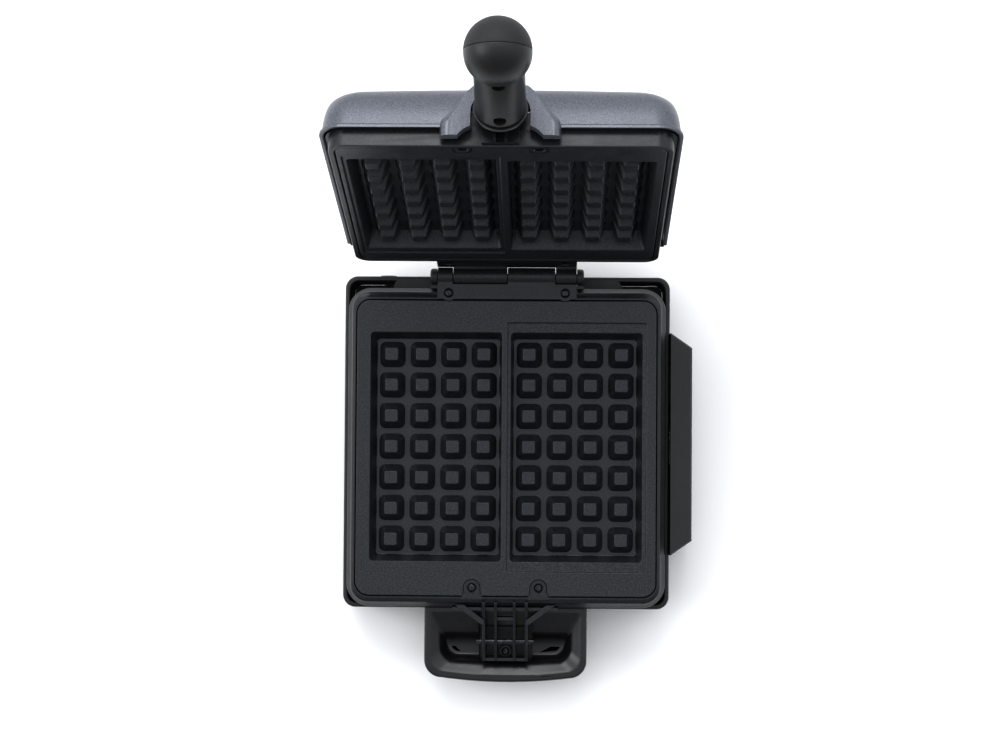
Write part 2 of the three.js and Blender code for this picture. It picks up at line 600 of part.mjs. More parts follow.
// arch outline in the XZ plane: straight legs under a half ellipse
function arch(y, half, middle, top, bottom) {
  const points = [new THREE.Vector3(-half, y, bottom)];
  for (let i = 0; i <= 12; i += 1) {
    const angle = Math.PI * (1 - i / 12);
    points.push(new THREE.Vector3(half * Math.cos(angle), y, middle + (top - middle) * Math.sin(angle)));
  }
  points.push(new THREE.Vector3(half, y, bottom));
  return points;
}

function lidCover() {
  let solid = coverVolume(0, 0, COVER.rear);
  const hood = skin([hoodRing(-131.5, 34), hoodRing(-129.5, 38.5), hoodRing(-125.5, 41),
    hoodRing(-106, 43)]);
  const belly = box(-50, 50, -124.4, -100, 70, FLANGE);
  solid = solid.add(hood.subtract(belly));
  solid = solid.subtract(coverVolume(COVER.wall, 2, COVER.rear + 5));
  solid = solid.subtract(skin([arch(-140, 20.6, 94, 114.2, 82), arch(-118, 20.6, 92, 112.4, 82)]));
  solid = solid.subtract(skin([arch(-140, 31, 70, 86, 60), arch(-118, 31, 70, 86, 60)]));
  return piece('lid_cover', crowned(solid), COVER_PAINT);
}

function lidBackPanel() {
  const skyline = COVER_LEVELS.filter(([, , z]) => z >= 98).map(([x, , z]) => [x - 1, z - 0.6]);
  const right = [[LID_RING.x + GAP, FLANGE + GAP], [124.4, FLANGE + GAP], ...skyline];
  const left = right.map(([x, z]) => [-x, z]).reverse();
  const shoulder = 99;
  const outline = [...left, [-LID_RING.x - GAP, shoulder], [LID_RING.x + GAP, shoulder], ...right];
  const shape = new THREE.Shape(outline.map(([x, z]) => new THREE.Vector2(x, z)));
  const geometry = new THREE.ExtrudeGeometry(shape, { depth: 5, bevelEnabled: false });
  geometry.rotateX(Math.PI / 2).translate(0, COVER.rear + GAP + 5, 0);
  return piece('lid_back_panel', crowned(solidOf(geometry)), BLACK_PLASTIC);
}

// ring of points round the handle's centreline at t, radius r, between two angles from +X
function handleRing(t, r, from, to, steps, lift = 0) {
  const centre = HANDLE_PATH.getPoint(Math.min(t, 1));
  const along = HANDLE_PATH.getTangent(Math.min(t, 1));
  centre.addScaledVector(along, Math.max(t - 1, 0));
  const up = new THREE.Vector3(0, along.z, -along.y);
  return Array.from({ length: steps + 1 }, (_, i) => {
    const angle = from + (i / steps) * (to - from);
    const x = r * Math.cos(angle);
    return centre.clone().addScaledVector(up, r * Math.sin(angle) + lift).setX(x);
  });
}

// stations along the handle: [t, radius]; beyond t = 1 the end is a half ball
function handleStations(from, inset) {
  const stations = [];
  for (const t of [from, 0.3, 0.42, 0.54, 0.66, 0.78, 0.84, 0.87, 0.9, 0.93, 0.96, 1]) {
    const swell = THREE.MathUtils.smoothstep(t, 0.82, 0.96);
    stations.push([t, THREE.MathUtils.lerp(NECK_R, BALL_R, swell) - inset]);
  }
  const ball = BALL_R - inset;
  for (let i = 1; i <= 5; i += 1) {
    const angle = (i / 5.3) * 0.5 * Math.PI;
    stations.push([1 + ball * Math.sin(angle), ball * Math.cos(angle)]);
  }
  return stations;
}

const HANDLE_START = 0.18;
function handleShell(name, upper) {
  const [from, to] = upper ? [0, Math.PI] : [Math.PI, 2 * Math.PI];
  const lift = upper ? GAP / 2 : -GAP / 2;
  const half = (start, inset, steps) => skin(handleStations(start, inset)
    .map(([t, r]) => handleRing(t, r, from, to, steps, lift)));
  let solid = half(HANDLE_START, 0, 10);
  const core = skin(handleStations(HANDLE_START - 0.03, HANDLE_WALL)
    .map(([t, r]) => handleRing(t, r, 0, 2 * Math.PI * (11 / 12), 11)));
  solid = solid.subtract(core);
  if (!upper) {
    HANDLE_SCREWS.forEach((y) => {
      const z = handleHeight(y);
      solid = solid.add(rodZ(0, y, 6.2, z - NECK_R + 1, z - ARM_R - 2.2, 12));
      solid = solid.subtract(rodZ(0, y, 4.4, z - NECK_R - 8, z - NECK_R + 4.6, 12));
      solid = solid.subtract(rodZ(0, y, SHANK_R + GAP, z - NECK_R, z, 10));
    });
  }
  return piece(name, solid, HANDLE_PLASTIC);
}

// height of the handle's centreline at y
function handleHeight(y) {
  const points = HANDLE_PATH.getPoints(60);
  const next = points.findIndex((p) => p.y <= y);
  return points[next].z;
}

function handleArm() {
  const rings = [];
  for (let i = 0; i <= 7; i += 1) {
    rings.push(handleRing(0.12 + 0.8 * (i / 7), ARM_R, 0, 2 * Math.PI * (7 / 8), 7));
  }
  const front = LID_RING.front - GAP;
  let solid = skin(rings);
  solid = solid.add(box(-13, 13, -131, front, 82.5, 97)).add(box(-13, 13, front - 3, front, 73, 90));
  bothSides((side) => {
    solid = solid.add(box(side * 4 - 1, side * 4 + 1, -129, front - 1, 73, 84));
  });
  HANDLE_SCREWS.forEach((y) => {
    const z = handleHeight(y);
    solid = solid.subtract(rodZ(0, y, SHANK_R + GAP, z - 20, z + 4, 10));
  });
  return piece('handle_arm', solid, CASTING);
}

function handleCollar() {
  const ring = (r) => [0.145, 0.17].map((t) => handleRing(t, r, 0, 2 * Math.PI * (19 / 20), 19));
  const long = [0.1, 0.2].map((t) => handleRing(t, 15.2, 0, 2 * Math.PI * (19 / 20), 19));
  return piece('handle_collar', skin(ring(19)).subtract(skin(long)), HANDLE_PLASTIC);
}

// ---------------------------------------------------------------- assembly
const base = new THREE.Group();
base.add(baseTray(), bottomCover(), lowerFrame(), lowerPlate(), controlBox(), temperatureDial(), dialShaft(),
  thermostat(), indicatorBoard(), cordGland(), terminalBlock(), thermalFuse(), frontGuard(), frontBracket(),
  bracketPin(), hingePin());
base.add(heater('lower_heater', LAND - STUD_HEIGHT - PLATE_SKIN - GAP - 3.2));
base.add(reflector('lower_reflector', 117, -116, 114, 42.2, 43.4));
base.add(indicator('power_lens', LENS_Y[0], RED_LENS), indicator('ready_lens', LENS_Y[1], GREEN_LENS));
base.add(lamp('power_lamp', LENS_Y[0]), lamp('ready_lamp', LENS_Y[1]));
base.add(hingeCap('hinge_cap_left', -1), hingeCap('hinge_cap_right', 1));
base.add(screw('guard_screw', 0, GUARD_SCREW_Y, 34 + GAP + 2.2, 28, -1));
CORNERS.forEach(([sx, sy], i) => {
  base.add(foot(i + 1, sx * 104, sy > 0 ? 119 : -111));
  base.add(screw(`bottom_screw_${i + 1}`, sx * POST.x, sy * POST.y, FOOT_HEIGHT + GAP, 41, 1));
});
const PLATE_SCREWS = [[-1, REAR_SCREW], [1, REAR_SCREW], [-1, FRONT_SCREW], [1, FRONT_SCREW]];
PLATE_SCREWS.forEach(([side, at], i) => {
  const top = at === REAR_SCREW ? LAND - 0.8 : LAND - 1.2;
  base.add(screw(`lower_plate_screw_${i + 1}`, side * at.x, at.y, top, 13, -1));
});

const lidPieces = [upperFrame(), upperPlate(), lidCover(), lidBackPanel(), handleArm(), handleCollar(),
  handleShell('handle_upper_shell', true), handleShell('handle_lower_shell', false)];
lidPieces.push(heater('upper_heater', UPPER_TIPS + STUD_HEIGHT + PLATE_SKIN + GAP + 3.2));
lidPieces.push(reflector('upper_reflector', 117, -117, 106, 97, 98.2));
PLATE_SCREWS.forEach(([side, at], i) => {
  const rear = at === REAR_SCREW;
  const [recess, length] = rear ? [0.5, 6.2] : [0.8, 13];
  lidPieces.push(screw(`upper_plate_screw_${i + 1}`, side * at.x, at.y, UPPER_LAND + recess, length, 1));
});
HANDLE_SCREWS.forEach((y, i) => {
  const z = handleHeight(y) - NECK_R + 4.6 - GAP - 2.2;
  lidPieces.push(screw(`handle_screw_${i + 1}`, 0, y, z, 14, 1, 3.6));
});

const lid = new THREE.Group();
lid.position.set(0, HINGE_Y, HINGE_Z);
lid.rotation.x = -THREE.MathUtils.degToRad(OPEN_ANGLE);
lidPieces.forEach((mesh) => {
  mesh.position.set(0, -HINGE_Y, -HINGE_Z);
  lid.add(mesh);
});

const group = new THREE.Group();
group.add(base, lid);
group.updateMatrixWorld(true);
const bounds = new THREE.Box3().setFromObject(group, true);
const middle = bounds.getCenter(new THREE.Vector3());
group.position.set(-middle.x, -middle.y, -bounds.min.z);
group.updateMatrixWorld(true);

export default group;
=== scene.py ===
import json
import math

import bmesh
import bpy
from mathutils import Matrix, Vector


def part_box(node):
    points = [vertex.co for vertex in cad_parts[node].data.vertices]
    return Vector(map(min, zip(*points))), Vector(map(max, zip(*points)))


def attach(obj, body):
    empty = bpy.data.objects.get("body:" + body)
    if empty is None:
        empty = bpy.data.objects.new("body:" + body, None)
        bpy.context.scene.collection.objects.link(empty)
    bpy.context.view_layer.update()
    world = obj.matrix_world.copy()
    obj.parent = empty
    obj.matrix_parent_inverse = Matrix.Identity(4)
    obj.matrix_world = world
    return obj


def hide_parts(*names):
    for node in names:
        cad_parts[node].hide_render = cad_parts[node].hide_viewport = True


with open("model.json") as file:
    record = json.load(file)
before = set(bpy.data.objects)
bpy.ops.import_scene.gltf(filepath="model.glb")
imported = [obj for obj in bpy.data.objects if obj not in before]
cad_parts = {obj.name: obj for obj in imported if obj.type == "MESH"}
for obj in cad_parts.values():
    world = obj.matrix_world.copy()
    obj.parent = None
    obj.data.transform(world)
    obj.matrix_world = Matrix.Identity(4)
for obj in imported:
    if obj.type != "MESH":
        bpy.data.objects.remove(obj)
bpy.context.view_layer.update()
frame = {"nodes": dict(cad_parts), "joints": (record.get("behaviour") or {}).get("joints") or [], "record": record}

# ------------------------------------------------------------------ frame
# Pieces are drawn in millimetres with the lower plate centred on X = Y = 0 and the floor at Z = 0.
# Lid pieces are drawn closed and turned open round the hinge when they are placed.
MM = 0.001
plate_low, plate_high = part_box("lower_plate")
PLATE_OFFSET = -0.8                     # the plate's own middle, along Y
ORIGIN = Vector(((plate_low.x + plate_high.x) / 2, (plate_low.y + plate_high.y) / 2 - PLATE_OFFSET * MM, 0))
hinge = next(j for j in frame["joints"] if j["name"] == "lid_hinge")
HINGE = Vector(hinge["pos_m"]) - ORIGIN
OPEN = math.radians(hinge["range_deg"][1])
BASE_PLACE = Matrix.Translation(ORIGIN) @ Matrix.Scale(MM, 4)
LID_PLACE = (Matrix.Translation(ORIGIN + HINGE) @ Matrix.Rotation(-OPEN, 4, "X")
             @ Matrix.Translation(-HINGE) @ Matrix.Scale(MM, 4))
HINGE_Y, HINGE_Z = HINGE.y / MM, HINGE.z / MM

# ------------------------------------------------------------------ sizes, millimetres
CELL_X, CELL_Y = 24.5, 24.57
COLUMNS, ROWS = 4, 7
FIRST_COLUMN = 18.05
STUD_TOP, STUD_FOOT, STUD_HEIGHT = 5.1, 10.2, 12.5
CAVITY_IN, CAVITY_OUT, CAVITY_END = 3.7, 108.3, 91
CAVITY_DRAFT, RIB_DRAFT = 4.2, 1.5
STEP_DEPTH, STEP_OUT, STEP_END = 1.2, 111.3, 99
LAND, RIM, UPPER_LAND, UPPER_TIPS = 71, 71.5, 72, 74.5
PLATE_SKIN = 2.2
FLANGE = 83
TRAY_TOP = 50
TRAY = dict(x=131, front=-129.6, rear=137.3, r=10)
TRAY_WALL = 4
RING = dict(x=127, front=-127.5, rear=127, r=18)
SKIRT = dict(x=124.5, front=-123.5, rear=124.5, r=15)
SEAM = dict(x=120, front=-119, rear=117.4, r=11.5)
LID_RING = dict(x=119.5, front=-119.5, rear=117.5, r=12)
LID_SEAM = dict(x=115.4, front=-115.4, rear=113.2, r=9)
SEAM_GAP = 0.6
BARREL_R, BARREL_CLEAR, PIN_R = 7.3, 8.0, 2.5
STRIP_X, STRIP_REAR = 55.6, 129.7
BASE_KNUCKLES = ((-55.4, -43.4), (0.6, 38.4))
LID_KNUCKLES = ((-42.8, 0.0), (39.0, 55.4))
REAR_SCREW = (46.5, 122.8)
FRONT_SCREW = (26.5, -112)
BOSS_R = 6.4
HEAD_R, SHANK_R = 3.1, 1.6
SLOT_X, SLOT_END = 21.8, -172.8
GUARD = dict(x=65.5, back=-130.1, corner=-186.2, tip=-189.6, r=14, top=45, bottom=8)
BOX_IN, BOX_OUT, BOX_BOTTOM, BOX_TOP, BOX_WALL = 131.4, 148.5, 9, 60, 3
DIAL_Y, DIAL_Z, DIAL_R, DIAL_DEPTH = 0, 33, 18.4, 5.6
LENS_Y = (44, 58)
NECK_R, BALL_R, HANDLE_WALL, ARM_R = 17.4, 22.5, 3, 8.5
HANDLE_ENDS = (Vector((0, -116, 89)), Vector((0, -168, 106)), Vector((0, -215, 98)))
HANDLE_SCREWS = (-145, -190)
COVER_LEVELS = ((126, -126, 83), (126, -126, 84.8), (124.6, -124.6, 86), (123.2, -123, 98),
                (120.5, -120, 107),
                (115.5, -114.5, 113), (108, -106, 115.8), (88, -84, 118))


# ------------------------------------------------------------------ shader helpers
def linear(hex_colour):
    """sRGB hex to a linear RGBA tuple."""
    parts = [int(hex_colour[i:i + 2], 16) / 255 for i in (1, 3, 5)]
    return tuple(c / 12.92 if c <= 0.04045 else ((c + 0.055) / 1.055) ** 2.4 for c in parts) + (1,)


def add(tree, kind, inputs=None, **settings):
    """One node with its settings and its inputs: a value, or a socket to link from."""
    node = tree.nodes.new(kind)
    for key, value in settings.items():
        setattr(node, key, value)
    for key, value in (inputs or {}).items():
        if isinstance(value, bpy.types.NodeSocket):
            tree.links.new(value, node.inputs[key])
        else:
            node.inputs[key].default_value = value
    return node


def new_material(name, colour, roughness, metallic=0.0, ior=1.5, coat=0.0, coat_roughness=0.1):
    mat = bpy.data.materials.new(name)
    mat.use_nodes = True
    tree = mat.node_tree
    bsdf = tree.nodes["Principled BSDF"]
    bsdf.inputs["Base Color"].default_value = linear(colour)
    bsdf.inputs["Roughness"].default_value = roughness
    bsdf.inputs["Metallic"].default_value = metallic
    bsdf.inputs["IOR"].default_value = ior
    bsdf.inputs["Coat Weight"].default_value = coat
    bsdf.inputs["Coat Roughness"].default_value = coat_roughness
    return mat, tree, bsdf


def mottle(tree, bsdf, colour_a, colour_b, size_mm, low=0.35, high=0.65, detail=2.0):
    """Colour that wanders between two tones over patches of about size_mm."""
    place = add(tree, "ShaderNodeTexCoord")
    noise = add(tree, "ShaderNodeTexNoise", {"Vector": place.outputs["Object"], "Scale": 1 / (size_mm * MM),
                                             "Detail": detail, "Roughness": 0.6})
    spread = add(tree, "ShaderNodeMapRange", {"Value": noise.outputs["Fac"], "From Min": low,
                                              "From Max": high})
    mix = add(tree, "ShaderNodeMix", {"Factor": spread.outputs["Result"]}, data_type="RGBA")
    mix.inputs[6].default_value = linear(colour_a)
    mix.inputs[7].default_value = linear(colour_b)
    tree.links.new(mix.outputs[2], bsdf.inputs["Base Color"])
    return noise


def grain(tree, bsdf, size_mm, height_mm, strength=1.0, kind="ShaderNodeTexNoise"):
    """Fine relief of a moulded or sprayed skin."""
    place = add(tree, "ShaderNodeTexCoord")
    noise = add(tree, kind, {"Vector": place.outputs["Object"], "Scale": 1 / (size_mm * MM)})
    height = noise.outputs["Fac"] if "Fac" in noise.outputs else noise.outputs["Distance"]
    bump = add(tree, "ShaderNodeBump", {"Height": height, "Strength": strength, "Distance": height_mm * MM})
    tree.links.new(bump.outputs["Normal"], bsdf.inputs["Normal"])


def wear(tree, bsdf, size_mm, low, high):
    """Roughness that varies in soft patches, as handled plastic and metal do."""
    place = add(tree, "ShaderNodeTexCoord")
    noise = add(tree, "ShaderNodeTexNoise", {"Vector": place.outputs["Object"], "Scale": 1 / (size_mm * MM),
                                             "Detail": 3.0})
    spread = add(tree, "ShaderNodeMapRange", {"Value": noise.outputs["Fac"], "From Min": 0.3,
                                              "From Max": 0.7,
                                              "To Min": low, "To Max": high})
    tree.links.new(spread.outputs["Result"], bsdf.inputs["Roughness"])


# ------------------------------------------------------------------ materials
def moulded_abs():
    """Spark-eroded ABS: near black, a fine even grain that breaks the highlight up."""
    mat, tree, bsdf = new_material("moulded_abs", "#151518", 0.52)
    mottle(tree, bsdf, "#121215", "#1b1b1e", 1.1)
    wear(tree, bsdf, 30, 0.46, 0.56)
    grain(tree, bsdf, 0.6, 0.03, 0.5)
    return mat


def satin_abs():
    """Satin-moulded ABS: smoother than the tray, so the scoop shows long soft reflections."""
    mat, tree, bsdf = new_material("satin_abs", "#111114", 0.24)
    mottle(tree, bsdf, "#0f0f12", "#151518", 6.0)
    wear(tree, bsdf, 22, 0.25, 0.34)
    grain(tree, bsdf, 0.5, 0.01, 0.3)
    return mat


def phenolic_handle():
    """Heat-resistant moulded handle resin: matt black with a broad soft sheen."""
    mat, tree, bsdf = new_material("phenolic_handle", "#131314", 0.4)
    mottle(tree, bsdf, "#111112", "#171718", 2.0)
    wear(tree, bsdf, 18, 0.36, 0.44)
    grain(tree, bsdf, 0.7, 0.02, 0.35)
    return mat


def soft_touch():
    """Soft-touch skin on the handle's upper shell: the same resin with a rubbery matt film."""
    mat, tree, bsdf = new_material("soft_touch", "#161617", 0.62)
    mottle(tree, bsdf, "#141415", "#1a1a1b", 2.0)
    wear(tree, bsdf, 18, 0.56, 0.66)
    grain(tree, bsdf, 0.7, 0.02, 0.35)
    return mat


def ptfe_on_aluminium():
    """PTFE coating sprayed on cast aluminium: blue-grey, with the fine pale speckle of mica in the spray."""
    mat, tree, bsdf = new_material("ptfe_on_aluminium", "#1b1d20", 0.38, metallic=0.25)
    mottle(tree, bsdf, "#131517", "#3c4147", 0.9, 0.4, 0.72, 4.0)
    wear(tree, bsdf, 12, 0.3, 0.4)
    grain(tree, bsdf, 0.9, 0.09, 0.6)
    return mat


def coated_casting():
    """Die-cast aluminium with a thin baked coat: the plates' spray, a little darker and smoother."""
    mat, tree, bsdf = new_material("coated_casting", "#17181b", 0.36, metallic=0.2)
    mottle(tree, bsdf, "#101114", "#2a2d32", 1.0, 0.38, 0.72, 4.0)
    wear(tree, bsdf, 16, 0.28, 0.38)
    grain(tree, bsdf, 0.9, 0.04, 0.45)
    return mat


def metallic_lacquer():
    """Silver-grey metallic lacquer: aluminium flake under a satin clear coat, drawn coarse enough to show."""
    mat, tree, bsdf = new_material("metallic_lacquer", "#565961", 0.42, metallic=0.5, coat=0.25,
                                   coat_roughness=0.25)
    mottle(tree, bsdf, "#44474e", "#6c6f78", 0.8, 0.34, 0.7, 5.0)
    wear(tree, bsdf, 40, 0.34, 0.42)
    grain(tree, bsdf, 1.0, 0.02, 0.4)
    return mat


def zinc_steel():
    """Black zinc-plated steel: dark, a little brighter in the patches that a driver has touched."""
    mat, tree, bsdf = new_material("zinc_steel", "#34363a", 0.36, metallic=1.0)
    mottle(tree, bsdf, "#2a2c2f", "#4c4f53", 1.5)
    wear(tree, bsdf, 3, 0.28, 0.45)
    return mat


def rolled_aluminium():
    """Mill-finish aluminium sheet with faint rolling streaks."""
    mat, tree, bsdf = new_material("rolled_aluminium", "#b9bcc0", 0.35, metallic=1.0)
    mottle(tree, bsdf, "#aeb1b5", "#c6c8cb", 9.0)
    wear(tree, bsdf, 8, 0.28, 0.45)
    return mat


def oxidised_sheath():
    """Stainless heater sheath, browned by heat in soft bands."""
    mat, tree, bsdf = new_material("oxidised_sheath", "#5a4e48", 0.45, metallic=0.9)
    mottle(tree, bsdf, "#4a4542", "#73604f", 14.0)
    wear(tree, bsdf, 6, 0.38, 0.55)
    return mat


def moulded_rubber():
    """Black rubber: matt and slightly dusty."""
    mat, tree, bsdf = new_material("moulded_rubber", "#1b1b1b", 0.85)
    mottle(tree, bsdf, "#171717", "#242424", 3.0)
    grain(tree, bsdf, 0.8, 0.04, 0.5)
    return mat


def steatite():
    """Unglazed insulator ceramic: off-white, slightly chalky."""
    mat, tree, bsdf = new_material("steatite", "#d8d4c8", 0.7)
    mottle(tree, bsdf, "#cdc8ba", "#e0ddd2", 4.0)
    return mat


def fibre_board():
    """Paper-phenolic circuit board: tan, with a faint fibre mottling."""
    mat, tree, bsdf = new_material("fibre_board", "#8a7a4a", 0.6)
    mottle(tree, bsdf, "#7d6e42", "#968653", 2.5)
    return mat


def tinted_lens(name, colour, dark):
    """Clear tinted polycarbonate: glossy, deep colour."""
    mat, tree, bsdf = new_material(name, colour, 0.12, ior=1.58)
    mottle(tree, bsdf, dark, colour, 3.0)
    return mat


def lamp_glass():
    """Small neon lamp glass."""
    mat, tree, bsdf = new_material("lamp_glass", "#e6d9c0", 0.08, ior=1.5)
    mottle(tree, bsdf, "#dccdb0", "#efe5d2", 3.0)
    return mat


LOOKS = dict(
    black_plastic=moulded_abs(), dial_plastic=moulded_abs(), gloss_black_plastic=satin_abs(),
    handle_plastic=phenolic_handle(), non_stick=ptfe_on_aluminium(), cast_metal=coated_casting(),
    metallic_paint=metallic_lacquer(), steel=zinc_steel(), heater_steel=oxidised_sheath(),
    sheet_aluminium=rolled_aluminium(), rubber=moulded_rubber(), ceramic=steatite(), board=fibre_board(),
    red_lens=tinted_lens("red_lens", "#b3201c", "#7d1411"),
    green_lens=tinted_lens("green_lens", "#2f8f3a", "#1d6427"),
    lamp_glass=lamp_glass(),
)
SLOT_OF = {s["node"]: s["material_slot"] for s in frame["record"]["subparts"]}
BODY_OF = {n: b for b, members in frame["record"]["behaviour"]["bodies"].items() for n in members}


# ------------------------------------------------------------------ mesh helpers
def new_object(name, verts, faces):
    mesh = bpy.data.meshes.new(name)
    mesh.from_pydata([tuple(v) for v in verts], [], faces)
    mesh.update()
    obj = bpy.data.objects.new(name, mesh)
    bpy.context.scene.collection.objects.link(obj)
    return obj


def skin(rings):
    """A closed body through rings of points with convex end caps, faces outward."""
    count = len(rings[0])
    verts = [p for ring in rings for p in ring]
    faces = [list(range(count - 1, -1, -1)), [(len(rings) - 1) * count + i for i in range(count)]]
    for level in range(len(rings) - 1):
        for i in range(count):
            a, b = level * count + i, level * count + (i + 1) % count
            faces.append([a, b, b + count, a + count])
    return new_object("shape", verts, faces)


def loft(levels):
    """A body through (height, outline) levels, from the bottom up."""
    return skin([[(x, y, z) for x, y in outline] for z, outline in levels])


def round_rect(x0, x1, y0, y1, r_front, r_rear=None, steps=12):
    r_rear = r_front if r_rear is None else r_rear
    corners = ((x0 + r_front, y0 + r_front, r_front, 1.0), (x1 - r_front, y0 + r_front, r_front, 1.5),
               (x1 - r_rear, y1 - r_rear, r_rear, 0.0), (x0 + r_rear, y1 - r_rear, r_rear, 0.5))
    points = []
    for cx, cy, r, start in corners:
        for i in range(steps + 1):
            angle = (start + 0.5 * i / steps) * math.pi
            points.append((cx + r * math.cos(angle), cy + r * math.sin(angle)))
    return points


def grown(o, d, steps=12):
    return round_rect(-o["x"] - d, o["x"] + d, o["front"] - d, o["rear"] + d, max(o["r"] + d, 0.5),
                      steps=steps)


def slab(outline, z0, z1):
    return loft([(z0, outline), (z1, outline)])


def block(x0, x1, y0, y1, z0, z1, edge=0.0):
    """A block; edge rounds its upright corners."""
    if edge:
        return slab(round_rect(x0, x1, y0, y1, edge, steps=5), z0, z1)
    return slab([(x0, y0), (x1, y0), (x1, y1), (x0, y1)], z0, z1)


def circle(r, sides, start=0.0):
    return [(r * math.cos(start + 2 * math.pi * i / sides), r * math.sin(start + 2 * math.pi * i / sides))
            for i in range(sides)]


def turned(axis, centre, profile, sides=32):
    """A turned body: profile is (distance along the axis, radius) from low to high."""
    rings = []
    for along, r in profile:
        ring = []
        for a, b in circle(r, sides):
            if axis == "Z":
                ring.append((centre[0] + a, centre[1] + b, along))
            elif axis == "X":
                ring.append((along, centre[0] + a, centre[1] + b))
            else:
                ring.append((centre[0] + b, along, centre[1] + a))
        rings.append(ring)
    return skin(rings)


def rod(axis, centre, r, low, high, sides=32, edge=0.0):
    if edge:
        return turned(axis, centre, ((low, r - edge), (low + edge * 0.3, r - edge * 0.3), (low + edge, r),
                                     (high - edge, r), (high - edge * 0.3, r - edge * 0.3),
                                     (high, r - edge)), sides)
    return turned(axis, centre, ((low, r), (high, r)), sides)


def drop(obj):
    mesh = obj.data
    bpy.data.objects.remove(obj)
    bpy.data.meshes.remove(mesh)


def settle(obj):
    """Replaces an object's mesh with its modified one and removes the modifiers."""
    depsgraph = bpy.context.evaluated_depsgraph_get()
    mesh = bpy.data.meshes.new_from_object(obj.evaluated_get(depsgraph))
    old = obj.data
    obj.modifiers.clear()
    obj.data = mesh
    bpy.data.meshes.remove(old)
    return obj


def combine(obj, tools, operation):
    for tool in tools:
        modifier = obj.modifiers.new("combine", "BOOLEAN")
        modifier.operation = operation
        modifier.solver = "MANIFOLD"
        modifier.object = tool
        settle(obj)
        drop(tool)
    return obj


def cut(obj, *tools):
    return combine(obj, tools, "DIFFERENCE")


def join(obj, *tools):
    return combine(obj, tools, "UNION")


def rounded(obj, width):
    """Rounds every sharp edge to a small radius."""
    bevel = obj.modifiers.new("edge", "BEVEL")
    bevel.width = width
    bevel.segments = 2
    bevel.limit_method = "ANGLE"
    bevel.angle_limit = math.radians(40)
    bevel.miter_outer = "MITER_ARC"
    return settle(obj)


def finish_piece(name, obj, nodes, edge=0.0, lid=False, smooth=32, look=None):
    """Rounds sharp edges, puts the piece in its place and makes it stand for its nodes."""
    if edge:
        rounded(obj, edge)
    obj.data.transform(LID_PLACE if lid else BASE_PLACE)
    obj.data.polygons.foreach_set("use_smooth", [True] * len(obj.data.polygons))
    obj.data.set_sharp_from_angle(angle=math.radians(smooth))
    weighted = obj.modifiers.new("normals", "WEIGHTED_NORMAL")
    weighted.keep_sharp = True
    weighted.weight = 80
    settle(obj)
    obj.name = name
    obj.data.name = name
    slot = SLOT_OF[nodes[0]]
    obj.data.materials.clear()
    obj.data.materials.append(look or LOOKS[slot])
    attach(obj, BODY_OF[nodes[0]])
    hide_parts(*nodes)
    return obj


# ------------------------------------------------------------------ camera
def camera():
    """Almost straight above the base, where the open lid is seen from inside."""
    data = bpy.data.cameras.new("camera")
    data.lens = 75.55
    data.sensor_width = 36
    obj = bpy.data.objects.new("camera", data)
    bpy.context.scene.collection.objects.link(obj)
    pitch, yaw, roll = (math.radians(a) for a in (1.722, 1.402, 0.352))
    to_camera = (Matrix.Rotation(-roll, 3, "Z") @ Matrix.Rotation(-yaw, 3, "Y")
                 @ Matrix.Rotation(-pitch, 3, "X"))
    place = to_camera.transposed().to_4x4()
    place.translation = ORIGIN + Vector((35.8, 7.1, 1741.4)) * MM
    obj.matrix_world = place
    data.clip_start, data.clip_end = 0.05, 50
    bpy.context.scene.camera = obj


# ------------------------------------------------------------------ geometry node trees
def repeat_tree(name, grid):
    """A shape repeated on a grid, or on the points of the object that carries the modifier."""
    tree = bpy.data.node_groups.new(name, "GeometryNodeTree")
    face = tree.interface
    face.new_socket("Geometry", in_out="INPUT", socket_type="NodeSocketGeometry")
    face.new_socket("Shape", in_out="INPUT", socket_type="NodeSocketObject")
    face.new_socket("Finish", in_out="INPUT", socket_type="NodeSocketMaterial")
    if grid:
        for label, kind in (("Columns", "Int"), ("Rows", "Int"), ("Width", "Float"), ("Length", "Float")):
            face.new_socket(label, in_out="INPUT", socket_type="NodeSocket" + kind)
    face.new_socket("Geometry", in_out="OUTPUT", socket_type="NodeSocketGeometry")
    enter = add(tree, "NodeGroupInput")
    points = enter.outputs["Geometry"]
    if grid:
        lattice = add(tree, "GeometryNodeMeshGrid", {
            "Size X": enter.outputs["Width"], "Size Y": enter.outputs["Length"],
            "Vertices X": enter.outputs["Columns"], "Vertices Y": enter.outputs["Rows"]})
        points = lattice.outputs["Mesh"]
    shape = add(tree, "GeometryNodeObjectInfo", {"Object": enter.outputs["Shape"]})
    copies = add(tree, "GeometryNodeInstanceOnPoints", {"Points": points,
                                                        "Instance": shape.outputs["Geometry"]})
    real = add(tree, "GeometryNodeRealizeInstances", {"Geometry": copies.outputs["Instances"]})
    finish = add(tree, "GeometryNodeSetMaterial", {"Geometry": real.outputs["Geometry"],
                                                   "Material": enter.outputs["Finish"]})
    add(tree, "NodeGroupOutput", {"Geometry": finish.outputs["Geometry"]})
    return tree


GRID_TREE = repeat_tree("repeat_on_grid", True)
POINT_TREE = repeat_tree("repeat_on_points", False)


def run_tree(host, tree, values):
    modifier = host.modifiers.new("repeat", "NODES")
    modifier.node_group = tree
    sockets = {item.name: item.identifier for item in tree.interface.items_tree if item.in_out == "INPUT"}
    for label, value in values.items():
        modifier[sockets[label]] = value
    return settle(host)


def repeat_at(shape, places, look):
    """Copies of a shape, drawn at the origin, at each place."""
    host = new_object("places", places, [])
    run_tree(host, POINT_TREE, {"Shape": shape, "Finish": look})
    drop(shape)
    return host


# ------------------------------------------------------------------ waffle plates
def ordered(levels, flip):
    return levels[::-1] if flip else levels


